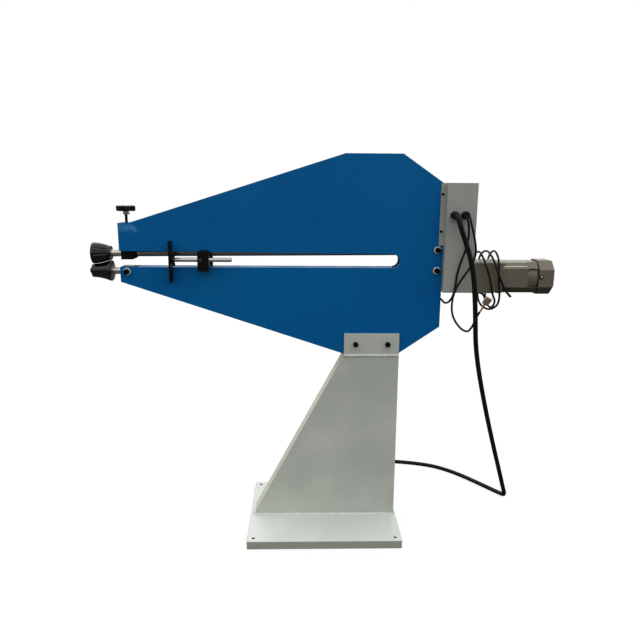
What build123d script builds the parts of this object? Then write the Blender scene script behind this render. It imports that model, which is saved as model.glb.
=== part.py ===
from build123d import *
import os
from math import cos, pi, radians, sin, sqrt, tan

# Electric bead roller: a deep-throat frame of two plates stands on a welded pedestal.
# Two geared die shafts run through it, the lower one driven by a gear motor at the rear.
# The knob at the front presses the upper shaft down about a pivot at the rear.
# X runs from the dies (negative) to the motor, Y away from the operator's side, Z up.
# The origin is at the middle of the base plate's underside. Sizes are in millimetres.

# Driving sizes: base plate and pedestal
base_width = 515.0
base_depth = 415.0
base_thickness = 28.0
base_corner_radius = 4.0
base_edge_chamfer = 1.5
anchor_hole_diameter = 11.0
anchor_hole_inset = 21.0
pedestal_wall = 8.0
pedestal_height = 588.0
pedestal_top_width = 186.0
pedestal_front_inset = 11.0
pedestal_rear_inset = 6.0
cap_plate_thickness = 12.0

# Driving sizes: frame
plate_thickness = 8.0
plate_gap = 38.0
frame_rear_reach = 227.5
frame_height = 660.0
frame_top_width = 184.0
frame_bottom_width = 167.0
rear_top_run = 140.0
rear_top_drop = 95.0
rear_bottom_run = 143.0
rear_bottom_rise = 98.0
throat_depth = 914.0
throat_to_rear = 140.0
jaw_top_rise = 157.0
jaw_bottom_drop = 34.0
jaw_flat_length = 34.0
slot_floor_rise = 15.0
slot_mouth_height = 52.0
slot_end_height = 46.0
edge_strip_thickness = 8.0
edge_strip_top_gap = 8.0
edge_strip_bottom_gap = 4.5
throat_strip_thickness = 2.5
throat_strip_gap = 3.0

# Driving sizes: brackets that hold the frame on the pedestal
bracket_thickness = 8.0
bracket_height = 75.0
bracket_bolt_spacing = 108.0
bracket_bolt_height = 39.0
bracket_bolt_diameter = 10.0
bracket_head_diameter = 17.0
bracket_head_height = 10.0
bracket_nut_width = 17.0
bracket_nut_height = 8.0

# Driving sizes: shafts and bearings
shaft_diameter = 24.0
shaft_pitch = 67.5
lower_axis_rise = 281.0
upper_tilt = 0.5
front_bearing_inset = 22.0
front_block_length = 38.0
rear_block_length = 36.0
block_half_height = 20.0
lower_block_half_height = 16.5
upper_block_rise = 30.0
bush_diameter = 27.0
collar_diameter = 34.0
collar_length = 12.0
collar_taper = 4.0
screw_shank_diameter = 12.0
screw_pin_diameter = 10.0
screw_pin_length = 4.8
screw_head_diameter = 18.0
screw_head_height = 12.0
washer_diameter = 24.0
washer_thickness = 2.5
rear_screw_rise = 7.0

# Driving sizes: dies
die_gap_to_frame = 33.0
die_length = 59.0
upper_die_front_radius = 34.6
upper_die_middle_radius = 31.0
upper_die_back_radius = 23.2
die_front_gap = 1.3
die_middle_gap = 1.6
die_back_gap = 0.9
lower_die_rim = 6.0
lower_die_lead = 4.0
die_shoulder = 2.0
die_recess_depth = 10.0
die_recess_radius = 12.0
die_bolt_diameter = 10.0
die_bolt_head_radius = 9.0
die_bolt_head_height = 8.0
die_bolt_flange_width = 1.0
die_bolt_flange_height = 2.0
die_bolt_depth = 25.0

# Driving sizes: gears, coupling and motor bracket
gear_teeth = 22
gear_face = 20.0
gear_hub_radius = 17.0
gear_hub_length = 4.0
gear_backlash = 0.6
pressure_angle = 20.0
gear_shoulder = 1.0
coupling_diameter = 42.0
coupling_length = 40.0
coupling_gap = 12.0
shaft_end_gap = 1.0
bracket_web_thickness = 8.0
bracket_web_side_gap = 1.0
bracket_leg_thickness = 8.0
bracket_leg_reach = 36.0
bracket_leg_rise = 51.5
bracket_bore_diameter = 36.0

# Driving sizes: pressure screw and knob
feed_screw_diameter = 10.0
feed_tip_diameter = 8.0
feed_tip_length = 8.0
nut_block_height = 38.0
knob_rise = 36.5
knob_height = 18.0
knob_core_radius = 21.0
knob_lobes = 6
knob_lobe_radius = 8.5
knob_lobe_circle = 22.5
knob_edge_radius = 4.0
lock_nut_width = 16.0
lock_nut_height = 11.0
shoe_flange_width = 18.0
shoe_neck_width = 12.0
shoe_length = 20.0
shoe_rise = 6.0
tee_slot_neck_height = 6.0
tee_slot_flange_height = 6.0

# Driving sizes: gear motor
motor_axis_drop = 13.5
motor_width = 102.0
motor_edge_chamfer = 3.0
gearbox_length = 73.0
gearbox_neck_length = 8.0
gearbox_neck_inset = 2.0
gearbox_flange_length = 16.0
motor_flat_length = 85.0
motor_round_length = 32.0
motor_corner_cut = 20.0
motor_band_length = 4.0
motor_band_inset = 3.0
fan_cover_length = 52.0
fan_cover_width = 112.0
fan_cover_corner_cut = 28.0
fan_cover_end_radius = 11.0
gearbox_pilot_length = 6.0
gearbox_screw_diameter = 8.0
gearbox_screw_spacing_y = 78.0
gearbox_screw_spacing_z = 64.0
gearbox_screw_depth = 10.0

# Driving sizes: cabinet
cabinet_width = 97.0
cabinet_depth = 108.0
cabinet_drop = 62.5
cabinet_height = 352.0
cabinet_sheet = 2.0
flange_width = 15.5
flange_height = 199.0
flange_drop = 1.5
flange_screw_inset = 5.5
flange_screw_top_inset = 34.0
flange_screw_bottom_inset = 46.0
small_screw_diameter = 5.0
small_screw_head_diameter = 9.0
small_screw_head_height = 4.0
cover_screw_inset = 15.0
cabinet_lip = 20.0
controller_width = 60.0
controller_depth = 60.0
controller_height = 110.0
controller_gap = 20.0
controller_fins = 6
controller_fin_height = 12.0
gland_inset = 23.5
gland_spacing = 34.0
gland_drop = 100.5
gland_thread_radius = 9.0
gland_hex_radius = 13.0
gland_cap_radius = 12.5
gland_length = 26.0
gland_nut_thickness = 5.0

# Driving sizes: sheet guide in the throat
guide_reach = 274.0
guide_rise = 23.0
guide_width = 36.0
guide_height = 67.0
guide_block_depth = 30.0
guide_corner_radius = 7.0
guide_tongue_width = 24.0
guide_tongue_height = 25.0
guide_backing_depth = 12.0
guide_bolt_diameter = 10.0
guide_bolt_head_diameter = 16.0
guide_bolt_head_height = 9.0
guide_bolt_depth = 22.0
rod_diameter = 14.0
rod_left_reach = 109.0
rod_right_reach = 91.0
rod_offset_y = 17.0
rod_rise = 3.5
rod_screw_offset = 8.0
rod_screw_diameter = 8.0
fence_reach = 108.0
fence_thickness = 5.0
fence_depth = 40.0
fence_height = 134.0
fence_drop = 7.0
fence_nut_width = 22.0
fence_nut_height = 8.0

# Driving sizes: cords
mains_diameter = 16.0
lead_diameter = 7.0
wire_diameter = 2.8
wire_length = 28.0
wire_spacing = 4.0
corner_share = 0.45
coil_center_x = 180.0
coil_center_y = 335.0
coil_outer_radius = 96.0
coil_step = 17.5
coil_layer_rise = 17.2
coil_turns_in = 1.75
coil_climb_start = 1.5
coil_climb_end = 2.0
coil_turns = 3.0
coil_tail = 90.0
winding_radius = 84.0
winding_pitch = 25.0
winding_lean = 45.0
winding_offset = 0.0
winding_drop = 110.0
winding_exit_offset = 48.0
grommet_radius = 7.0
grommet_length = 8.0
frame_grommet_drop = 28.5
frame_grommet_length = 3.0
lead_run_in = 7.0
connector_x = 523.5
connector_y = -86.0
connector_z = 813.5
connector_length = 28.0
connector_width = 22.0
connector_depth = 14.0
connector_tilt = 30.0
plug_body_radius = 20.0
plug_body_length = 52.0
plug_nut_radius = 15.0
plug_nut_length = 22.0
plug_flange_length = 6.0
plug_shroud_radius = 23.0
plug_shroud_length = 38.0
plug_shroud_wall = 2.5
plug_pin_radius = 3.0
plug_pin_length = 26.0
plug_pin_circle = 9.0

# Clearances
running_fit = 0.05
seat_fit = 0.02
pivot_fit = 0.1
slide_gap = 0.3
face_gap = 0.3
guide_side_gap = 0.2

# Derived places: pedestal and frame
frame_half = plate_gap / 2 + plate_thickness
pedestal_half = frame_half + bracket_thickness
pedestal_right_x = base_width / 2 - pedestal_rear_inset
pedestal_left_x = pedestal_right_x - pedestal_top_width
pedestal_foot_x = -base_width / 2 + pedestal_front_inset
pedestal_run = pedestal_left_x - pedestal_foot_x
slope_wall_width = pedestal_wall * sqrt(pedestal_height**2 + pedestal_run**2) / pedestal_height
frame_bottom_z = base_thickness + pedestal_height
bracket_center_x = (pedestal_left_x + pedestal_right_x) / 2
bracket_bolt_z = frame_bottom_z + bracket_bolt_height
bracket_bolt_xs = (bracket_center_x - bracket_bolt_spacing / 2, bracket_center_x + bracket_bolt_spacing / 2)

frame_right_x = bracket_center_x + frame_rear_reach
frame_top_z = frame_bottom_z + frame_height
lower_axis_z = frame_bottom_z + lower_axis_rise
upper_axis_z = lower_axis_z + shaft_pitch
slot_end_x = frame_right_x - throat_to_rear
slot_floor_z = lower_axis_z + slot_floor_rise
frame_left_x = slot_end_x - throat_depth
jaw_top_z = lower_axis_z + jaw_top_rise
jaw_bottom_z = lower_axis_z - jaw_bottom_drop
top_flat_right_x = frame_right_x - rear_top_run
top_flat_left_x = top_flat_right_x - frame_top_width
bottom_flat_right_x = frame_right_x - rear_bottom_run
bottom_flat_left_x = bottom_flat_right_x - frame_bottom_width
rear_edge_top_z = frame_top_z - rear_top_drop
rear_edge_bottom_z = frame_bottom_z + rear_bottom_rise
cabinet_bottom_z = lower_axis_z - cabinet_drop
edge_strip_top_start_z = jaw_top_z + edge_strip_top_gap
edge_strip_bottom_end_z = cabinet_bottom_z - edge_strip_bottom_gap

# Derived places: shafts, gears and dies
front_bearing_x = frame_left_x + front_bearing_inset
rear_bearing_x = frame_right_x - rear_block_length / 2
throat_strip_left_x = front_bearing_x + front_block_length / 2 + face_gap + collar_length + throat_strip_gap
tilt = radians(upper_tilt)
lower_axis = Plane(origin=(rear_bearing_x, 0, lower_axis_z), x_dir=(1, 0, 0), z_dir=(0, -1, 0))
upper_axis = Plane(origin=(rear_bearing_x, 0, upper_axis_z), x_dir=(cos(tilt), 0, sin(tilt)), z_dir=(0, -1, 0))
shaft_radius = shaft_diameter / 2
bush_radius = bush_diameter / 2
gear_seat_radius = shaft_radius - gear_shoulder
die_nose_radius = shaft_radius - die_shoulder
front_station = front_bearing_x - rear_bearing_x
die_back_station = frame_left_x - die_gap_to_frame - rear_bearing_x
die_front_station = die_back_station - die_length
lower_front_station = die_front_station - lower_die_lead
nose_end_station = die_front_station + die_recess_depth + face_gap
gear_station = rear_block_length / 2 + face_gap + gear_hub_length
gear_end_station = gear_station + gear_face
coupling_station = gear_end_station + coupling_gap
shaft_end_station = coupling_station + (coupling_length - shaft_end_gap) / 2
output_end_station = shaft_end_station + shaft_end_gap
gear_distance = shaft_pitch + (gear_station + gear_face / 2) * sin(tilt)
gear_module = gear_distance / gear_teeth
rim_station = die_back_station - lower_die_rim
die_middle_station = (die_front_station + rim_station) / 2
front_spacing = shaft_pitch + die_front_station * sin(tilt)
middle_spacing = shaft_pitch + die_middle_station * sin(tilt)
back_spacing = shaft_pitch + rim_station * sin(tilt)
lower_die_front_radius = front_spacing - upper_die_front_radius - die_front_gap
lower_die_middle_radius = middle_spacing - upper_die_middle_radius - die_middle_gap
lower_die_back_radius = back_spacing - upper_die_back_radius - die_back_gap
lower_screw_sites = ((front_bearing_x, lower_axis_z), (rear_bearing_x, lower_axis_z + rear_screw_rise))
pivot_screw_site = (rear_bearing_x, upper_axis_z + rear_screw_rise)

# Derived places: cabinet and gear motor
cabinet_left_x = frame_right_x
cabinet_right_x = cabinet_left_x + cabinet_width
cabinet_middle_x = cabinet_left_x + cabinet_width / 2
cabinet_top_z = cabinet_bottom_z + cabinet_height
cabinet_middle_z = cabinet_bottom_z + cabinet_height / 2
cabinet_front_y = -cabinet_depth / 2
cabinet_back_y = cabinet_depth / 2
cover_inner_y = cabinet_back_y - cabinet_sheet
lip_inner_y = cover_inner_y - cabinet_sheet
flange_top_z = cabinet_top_z - flange_drop
flange_bottom_z = flange_top_z - flange_height
flange_screw_x = frame_right_x - flange_width + flange_screw_inset
flange_screw_top_z = flange_top_z - flange_screw_top_inset
flange_screw_bottom_z = flange_bottom_z + flange_screw_bottom_inset
bracket_web_half_width = lip_inner_y - bracket_web_side_gap
bracket_leg_top_z = upper_axis_z + bracket_leg_rise
controller_bottom_z = bracket_leg_top_z + controller_gap
gland_x = cabinet_left_x + gland_inset
gland_z = cabinet_top_z - gland_drop
gland_face_y = cabinet_front_y - gland_length
motor_axis_z = lower_axis_z - motor_axis_drop
neck_start_x = cabinet_right_x + gearbox_length
gearbox_flange_x = neck_start_x + gearbox_neck_length
motor_start_x = gearbox_flange_x + gearbox_flange_length
motor_round_x = motor_start_x + motor_flat_length
motor_band_x = motor_round_x + motor_round_length
fan_cover_x = motor_band_x + motor_band_length

# Derived places: pressure screw, guide and cords
upper_front_z = upper_axis_z + front_station * sin(tilt)
shoe_flange_height = tee_slot_flange_height - 2 * slide_gap
shoe_bottom_z = upper_front_z + upper_block_rise - tee_slot_neck_height - tee_slot_flange_height + slide_gap
shoe_top_z = upper_front_z + upper_block_rise + shoe_rise
nut_block_bottom_z = jaw_top_z - nut_block_height
knob_bottom_z = jaw_top_z + knob_rise
guide_x = frame_left_x + guide_reach
guide_z = slot_floor_z + guide_rise
guide_back_y = -frame_half - slide_gap
guide_front_y = guide_back_y - guide_block_depth
rod_y = guide_back_y - rod_offset_y
rod_z = guide_z + rod_rise
fence_z = rod_z - fence_drop
tongue_bottom_z = slot_floor_z + slide_gap
tongue_middle_z = tongue_bottom_z + guide_tongue_height / 2
rod_left_x = guide_x - rod_left_reach
rod_right_x = guide_x + rod_right_reach
fence_left_x = guide_x - fence_reach
fence_middle_y = guide_back_y - fence_depth / 2
winding_start_x = gearbox_flange_x + winding_offset
winding_exit_x = motor_start_x + winding_exit_offset
frame_grommet_z = cabinet_bottom_z - frame_grommet_drop
connector_axis = Vector(sin(radians(connector_tilt)), 0, cos(radians(connector_tilt)))
connector_center = Vector(connector_x, connector_y, connector_z)
connector_bottom = connector_center - connector_axis * (connector_length / 2)
connector_top = connector_center + connector_axis * (connector_length / 2)
lead_end = connector_bottom - connector_axis * wire_length


def side_plane(y):
    """Return the upright plane at this Y, with X and Z as its own axes and its normal towards the operator."""
    return Plane.XZ.offset(-y)


def across(axis_plane, station):
    """Return the plane square to a shaft at this station along it."""
    origin = axis_plane.from_local_coords((station, 0, 0))
    return Plane(origin=origin, x_dir=axis_plane.z_dir * -1, z_dir=axis_plane.x_dir)


def turned(axis_plane, outline):
    """Turn a closed outline of (station, radius) points about the plane's X direction."""
    with BuildPart() as piece:
        with BuildSketch(axis_plane):
            with BuildLine():
                Polyline(*outline, close=True)
            make_face()
        revolve(axis=Axis(axis_plane.origin, axis_plane.x_dir))
    return piece


def ring_outline(start, end, inner_radius, outer_radius):
    """Return the outline of a plain ring between two stations."""
    return [(start, inner_radius), (end, inner_radius), (end, outer_radius), (start, outer_radius)]


# Base plate with its four anchor holes
with BuildPart() as base_plate:
    with BuildSketch():
        RectangleRounded(base_width, base_depth, base_corner_radius)
    extrude(amount=base_thickness)
    chamfer(faces().sort_by(Axis.Z)[-1].edges(), base_edge_chamfer)
    with Locations((0, 0, base_thickness)):
        with GridLocations(base_width - 2 * anchor_hole_inset, base_depth - 2 * anchor_hole_inset, 2, 2):
            Hole(anchor_hole_diameter / 2)

# Pedestal: two side walls, a sloped front wall, an upright rear wall and a cap plate inside them
with BuildPart() as pedestal_side_walls:
    for wall_back_y in (pedestal_wall - pedestal_half, pedestal_half):
        with BuildSketch(side_plane(wall_back_y)):
            with BuildLine():
                Polyline(
                    (pedestal_foot_x, base_thickness),
                    (pedestal_right_x, base_thickness),
                    (pedestal_right_x, frame_bottom_z),
                    (pedestal_left_x, frame_bottom_z),
                    close=True,
                )
            make_face()
        extrude(amount=pedestal_wall)

with BuildPart() as pedestal_slope_wall:
    with BuildSketch(side_plane(0)):
        with BuildLine():
            Polyline(
                (pedestal_foot_x, base_thickness),
                (pedestal_foot_x + slope_wall_width, base_thickness),
                (pedestal_left_x + slope_wall_width, frame_bottom_z),
                (pedestal_left_x, frame_bottom_z),
                close=True,
            )
        make_face()
    extrude(amount=pedestal_half - pedestal_wall, both=True)

with BuildPart() as pedestal_back_wall:
    with BuildSketch(side_plane(0)):
        with Locations((pedestal_right_x, base_thickness)):
            Rectangle(pedestal_wall, pedestal_height, align=(Align.MAX, Align.MIN))
    extrude(amount=pedestal_half - pedestal_wall, both=True)

with BuildPart() as pedestal_cap_plate:
    cap_left_x = pedestal_left_x + slope_wall_width
    cap_slant = cap_plate_thickness * pedestal_run / pedestal_height
    with BuildSketch(side_plane(0)):
        with BuildLine():
            Polyline(
                (cap_left_x, frame_bottom_z),
                (cap_left_x - cap_slant, frame_bottom_z - cap_plate_thickness),
                (pedestal_right_x - pedestal_wall, frame_bottom_z - cap_plate_thickness),
                (pedestal_right_x - pedestal_wall, frame_bottom_z),
                close=True,
            )
        make_face()
    extrude(amount=pedestal_half - pedestal_wall, both=True)

# Brackets on the pedestal, bolted through both frame plates
with BuildPart() as frame_brackets:
    for bracket_back_y in (-frame_half, pedestal_half):
        with BuildSketch(side_plane(bracket_back_y)):
            with Locations((bracket_center_x, frame_bottom_z)):
                Rectangle(pedestal_top_width, bracket_height, align=(Align.CENTER, Align.MIN))
            with Locations(*[(x, bracket_bolt_z) for x in bracket_bolt_xs]):
                Circle(bracket_bolt_diameter / 2 + seat_fit, mode=Mode.SUBTRACT)
        extrude(amount=bracket_thickness)

with BuildPart() as bracket_bolts:
    bolt_sites = [(x, bracket_bolt_z) for x in bracket_bolt_xs]
    with BuildSketch(side_plane(-pedestal_half)):
        with Locations(*bolt_sites):
            Circle(bracket_head_diameter / 2)
    extrude(amount=bracket_head_height)
    with BuildSketch(side_plane(-pedestal_half)):
        with Locations(*bolt_sites):
            Circle(bracket_bolt_diameter / 2)
    extrude(amount=-(2 * pedestal_half + bracket_nut_height + pedestal_wall / 2))
    with BuildSketch(side_plane(pedestal_half)):
        with Locations(*bolt_sites):
            RegularPolygon(bracket_nut_width / 2, 6, major_radius=False)
    extrude(amount=-bracket_nut_height)


def frame_outline():
    """Draw the outline of the frame without its throat."""
    Polyline(
        (frame_left_x, jaw_bottom_z),
        (bottom_flat_left_x, frame_bottom_z),
        (bottom_flat_right_x, frame_bottom_z),
        (frame_right_x, rear_edge_bottom_z),
        (frame_right_x, rear_edge_top_z),
        (top_flat_right_x, frame_top_z),
        (top_flat_left_x, frame_top_z),
        (frame_left_x + jaw_flat_length, jaw_top_z),
        (frame_left_x, jaw_top_z),
        close=True,
    )


def frame_plate(back_y, small_holes):
    """Build one frame plate with its throat and the holes for the screws that it carries."""
    slot_radius = slot_end_height / 2
    slot_round_x = slot_end_x - slot_radius
    with BuildPart() as plate:
        with BuildSketch(side_plane(back_y)):
            with BuildLine():
                frame_outline()
            make_face()
            with BuildLine():
                Polyline(
                    (slot_round_x, slot_floor_z),
                    (frame_left_x, slot_floor_z),
                    (frame_left_x, slot_floor_z + slot_mouth_height),
                    (slot_round_x, slot_floor_z + slot_end_height),
                )
                ThreePointArc(
                    (slot_round_x, slot_floor_z + slot_end_height),
                    (slot_end_x, slot_floor_z + slot_radius),
                    (slot_round_x, slot_floor_z),
                )
            make_face(mode=Mode.SUBTRACT)
            with Locations(*lower_screw_sites, pivot_screw_site):
                Circle(screw_shank_diameter / 2 + seat_fit, mode=Mode.SUBTRACT)
            with Locations(*[(x, bracket_bolt_z) for x in bracket_bolt_xs]):
                Circle(bracket_bolt_diameter / 2 + seat_fit, mode=Mode.SUBTRACT)
            if small_holes:
                with Locations(*small_holes):
                    Circle(small_screw_diameter / 2 + seat_fit, mode=Mode.SUBTRACT)
        extrude(amount=plate_thickness)
    return plate


flange_screw_sites = ((flange_screw_x, flange_screw_top_z), (flange_screw_x, flange_screw_bottom_z))
frame_plate_front = frame_plate(-plate_gap / 2, flange_screw_sites)
frame_plate_rear = frame_plate(frame_half, ())

# Edge strips that close the gap between the plates along the top, along the bottom and under the throat
with BuildPart() as frame_edge_strips:
    with BuildSketch(side_plane(0)) as strip_sketch:
        with BuildLine():
            frame_outline()
        make_face()
        offset(amount=-edge_strip_thickness, kind=Kind.INTERSECTION, mode=Mode.SUBTRACT)
        with Locations((frame_left_x, edge_strip_bottom_end_z)):
            Rectangle(
                frame_right_x - frame_left_x,
                edge_strip_top_start_z - edge_strip_bottom_end_z,
                align=(Align.MIN, Align.MIN),
                mode=Mode.SUBTRACT,
            )
    extrude(amount=plate_gap / 2, both=True)
    with BuildSketch(Plane.YZ.offset(frame_right_x)):
        with Locations((0, frame_grommet_z)):
            Circle(lead_diameter / 2 + 1 + seat_fit)
    extrude(amount=-edge_strip_thickness, mode=Mode.SUBTRACT)
    with BuildSketch(side_plane(0)):
        with Locations((throat_strip_left_x, slot_floor_z)):
            Rectangle(
                slot_end_x - slot_end_height / 2 - throat_strip_left_x,
                throat_strip_thickness,
                align=(Align.MIN, Align.MAX),
            )
    extrude(amount=plate_gap / 2, both=True)

# Lower bearing blocks between the plates, with a bush in each
with BuildPart() as lower_bearing_blocks:
    with BuildSketch(side_plane(plate_gap / 2)):
        with Locations((front_bearing_x, lower_axis_z)):
            Rectangle(front_block_length, 2 * lower_block_half_height)
        with Locations((rear_bearing_x, lower_axis_z)):
            Rectangle(rear_block_length, 2 * lower_block_half_height)
    extrude(amount=plate_gap)
    with BuildSketch(across(lower_axis, front_station - front_block_length)):
        Circle(bush_radius + seat_fit)
    extrude(amount=front_block_length - front_station + rear_block_length, mode=Mode.SUBTRACT)
    for side in (-1, 1):
        with BuildSketch(side_plane(side * plate_gap / 2)):
            with Locations(*lower_screw_sites):
                Circle(screw_pin_diameter / 2 + seat_fit)
        extrude(amount=side * (screw_pin_length + seat_fit), mode=Mode.SUBTRACT)


def bushes(axis_plane):
    """Build the front and rear bushes of one shaft."""
    with BuildPart() as pair:
        for station, length in ((front_station, front_block_length), (0, rear_block_length)):
            with BuildSketch(across(axis_plane, station - length / 2)):
                Circle(bush_radius)
                Circle(shaft_radius + running_fit, mode=Mode.SUBTRACT)
            extrude(amount=length)
    return pair


lower_bushes = bushes(lower_axis)
upper_bushes = bushes(upper_axis)

# Upper front block, with a tee slot along the top for the thrust shoe
with BuildPart() as upper_front_block:
    block_width = plate_gap - 2 * guide_side_gap
    slot_neck_half = shoe_neck_width / 2 + slide_gap
    slot_flange_half = shoe_flange_width / 2 + slide_gap
    neck_bottom = upper_block_rise - tee_slot_neck_height
    flange_bottom = neck_bottom - tee_slot_flange_height
    with BuildSketch(upper_axis):
        with Locations((front_station, -block_half_height)):
            Rectangle(
                front_block_length, block_half_height + upper_block_rise, align=(Align.CENTER, Align.MIN)
            )
        with Locations((front_station, neck_bottom)):
            Rectangle(
                2 * slot_neck_half, tee_slot_neck_height, align=(Align.CENTER, Align.MIN), mode=Mode.SUBTRACT
            )
        with Locations((front_station, flange_bottom)):
            Rectangle(
                2 * slot_flange_half, tee_slot_flange_height, align=(Align.CENTER, Align.MIN), mode=Mode.SUBTRACT
            )
    extrude(amount=block_width / 2, both=True)
    with BuildSketch(across(upper_axis, front_station - front_block_length)):
        Circle(bush_radius + seat_fit)
    extrude(amount=2 * front_block_length, mode=Mode.SUBTRACT)

# Upper rear block, which rocks on the two pivot screws
with BuildPart() as upper_rear_block:
    rear_block_width = plate_gap - 2 * guide_side_gap
    with BuildSketch(upper_axis):
        Rectangle(rear_block_length, 2 * block_half_height)
    extrude(amount=rear_block_width / 2, both=True)
    with BuildSketch(across(upper_axis, -rear_block_length)):
        Circle(bush_radius + seat_fit)
    extrude(amount=2 * rear_block_length, mode=Mode.SUBTRACT)
    for side in (-1, 1):
        with BuildSketch(side_plane(side * plate_gap / 2)):
            with Locations(pivot_screw_site):
                Circle(screw_pin_diameter / 2 + pivot_fit)
        extrude(amount=side * (screw_pin_length + guide_side_gap), mode=Mode.SUBTRACT)

# Cap screws with a pin end and their washers: four hold the lower blocks, two carry the rocking block
with BuildPart() as bearing_screws:
    screw_sites = (*lower_screw_sites, pivot_screw_site)
    for side in (-1, 1):
        face = side_plane(side * frame_half)
        with BuildSketch(face):
            with Locations(*screw_sites):
                Circle(washer_diameter / 2)
                Circle(screw_shank_diameter / 2 + seat_fit, mode=Mode.SUBTRACT)
        extrude(amount=-side * washer_thickness)
        with BuildSketch(face.offset(-side * washer_thickness)):
            with Locations(*screw_sites):
                Circle(screw_head_diameter / 2)
        extrude(amount=-side * screw_head_height)
        with BuildSketch(face.offset(-side * washer_thickness)):
            with Locations(*screw_sites):
                Circle(screw_shank_diameter / 2)
        extrude(amount=side * (washer_thickness + plate_thickness))
        with BuildSketch(side_plane(side * plate_gap / 2)):
            with Locations(*screw_sites):
                Circle(screw_pin_diameter / 2)
        extrude(amount=side * screw_pin_length)


def die_shaft(axis_plane, rear_station, nose_station):
    """Build one shaft: a nose for the die with a tapped hole, the journal and the gear seat."""
    hole_radius = die_bolt_diameter / 2 + seat_fit
    hole_end = nose_station + die_bolt_depth
    return turned(
        axis_plane,
        [
            (nose_station, hole_radius),
            (hole_end, hole_radius),
            (hole_end, 0),
            (rear_station, 0),
            (rear_station, gear_seat_radius),
            (gear_station - gear_hub_length, gear_seat_radius),
            (gear_station - gear_hub_length, shaft_radius),
            (die_back_station, shaft_radius),
            (die_back_station, die_nose_radius),
            (nose_station, die_nose_radius),
        ],
    )


lower_nose_station = lower_front_station + face_gap
lower_shaft = die_shaft(lower_axis, shaft_end_station, lower_nose_station)
upper_shaft = die_shaft(upper_axis, gear_end_station, nose_end_station)


def tooth_half_angle(radius, pitch_radius):
    """Return half the angle that an involute tooth spans at this radius."""
    base_radius = pitch_radius * cos(radians(pressure_angle))
    pitch_half_angle = pi / (2 * gear_teeth) - gear_backlash / (4 * pitch_radius)
    pitch_involute = tan(radians(pressure_angle)) - radians(pressure_angle)
    roll = sqrt(max(radius**2 / base_radius**2 - 1, 0))
    involute = roll - Vector(1, 0).get_angle(Vector(1, roll)) * pi / 180
    return pitch_half_angle + pitch_involute - involute


def gear_outline(first_tooth):
    """Return the outline points of a spur gear whose first tooth stands at this angle."""
    pitch_radius = gear_module * gear_teeth / 2
    flank = [pitch_radius - 1.2 * gear_module, pitch_radius - 0.5 * gear_module, pitch_radius]
    flank += [pitch_radius + 0.45 * gear_module, pitch_radius + 0.9 * gear_module]
    points = []
    for tooth in range(gear_teeth):
        middle = first_tooth + tooth * 2 * pi / gear_teeth
        rising = [(radius, middle - tooth_half_angle(radius, pitch_radius)) for radius in flank]
        falling = [(radius, middle + tooth_half_angle(radius, pitch_radius)) for radius in reversed(flank)]
        points += [(radius * cos(angle), radius * sin(angle)) for radius, angle in rising + falling]
    return points


def spur_gear(axis_plane, first_tooth):
    """Build one gear with a hub towards its bearing."""
    with BuildPart() as gear:
        with BuildSketch(across(axis_plane, gear_station)):
            with BuildLine():
                Polyline(*gear_outline(first_tooth), close=True)
            make_face()
            Circle(gear_seat_radius + seat_fit, mode=Mode.SUBTRACT)
        extrude(amount=gear_face)
        with BuildSketch(across(axis_plane, gear_station)):
            Circle(gear_hub_radius)
            Circle(gear_seat_radius + seat_fit, mode=Mode.SUBTRACT)
        extrude(amount=-gear_hub_length)
    return gear


# A tooth of the upper gear points down into a gap of the lower gear
lower_gear = spur_gear(lower_axis, pi / 2 + pi / gear_teeth)
upper_gear = spur_gear(upper_axis, -pi / 2)


def collar(axis_plane):
    """Build the tapered collar that holds a shaft against its front bearing."""
    start = front_station + front_block_length / 2 + face_gap
    end = start + collar_length
    bore = shaft_radius + seat_fit
    return turned(
        axis_plane,
        [
            (start, bore),
            (end, bore),
            (end, collar_diameter / 2 - collar_taper),
            (end - collar_taper, collar_diameter / 2),
            (start, collar_diameter / 2),
        ],
    )


lower_collar = collar(lower_axis)
upper_collar = collar(upper_axis)

# Dies: the upper one swells towards the front, the lower one flares towards the frame
die_bore = die_nose_radius + seat_fit
with BuildPart() as upper_die:
    recess_station = die_front_station + die_recess_depth
    with BuildSketch(upper_axis):
        with BuildLine():
            Polyline(
                (rim_station, upper_die_back_radius),
                (die_back_station, upper_die_back_radius),
                (die_back_station, die_bore),
                (recess_station, die_bore),
                (recess_station, die_recess_radius),
                (die_front_station, die_recess_radius),
                (die_front_station, upper_die_front_radius),
            )
            ThreePointArc(
                (die_front_station, upper_die_front_radius),
                (die_middle_station, upper_die_middle_radius),
                (rim_station, upper_die_back_radius),
            )
        make_face()
    revolve(axis=Axis(upper_axis.origin, upper_axis.x_dir))

with BuildPart() as lower_die:
    with BuildSketch(lower_axis):
        with BuildLine():
            Polyline(
                (rim_station, lower_die_back_radius),
                (die_back_station, lower_die_back_radius),
                (die_back_station, die_bore),
                (lower_front_station, die_bore),
                (lower_front_station, lower_die_front_radius),
                (die_front_station, lower_die_front_radius),
            )
            ThreePointArc(
                (die_front_station, lower_die_front_radius),
                (die_middle_station, lower_die_middle_radius),
                (rim_station, lower_die_back_radius),
            )
        make_face()
    revolve(axis=Axis(lower_axis.origin, lower_axis.x_dir))


def die_bolt(axis_plane, seat_station, nose_station):
    """Build the bolt that holds a die on its nose."""
    shank = die_bolt_diameter / 2
    flange_radius = die_bolt_head_radius + die_bolt_flange_width
    return turned(
        axis_plane,
        [
            (seat_station - die_bolt_head_height, 0),
            (nose_station + die_bolt_depth - face_gap, 0),
            (nose_station + die_bolt_depth - face_gap, shank),
            (seat_station, shank),
            (seat_station, flange_radius),
            (seat_station - die_bolt_flange_height, flange_radius),
            (seat_station - die_bolt_flange_height, die_bolt_head_radius),
            (seat_station - die_bolt_head_height, die_bolt_head_radius),
        ],
    )


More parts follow.
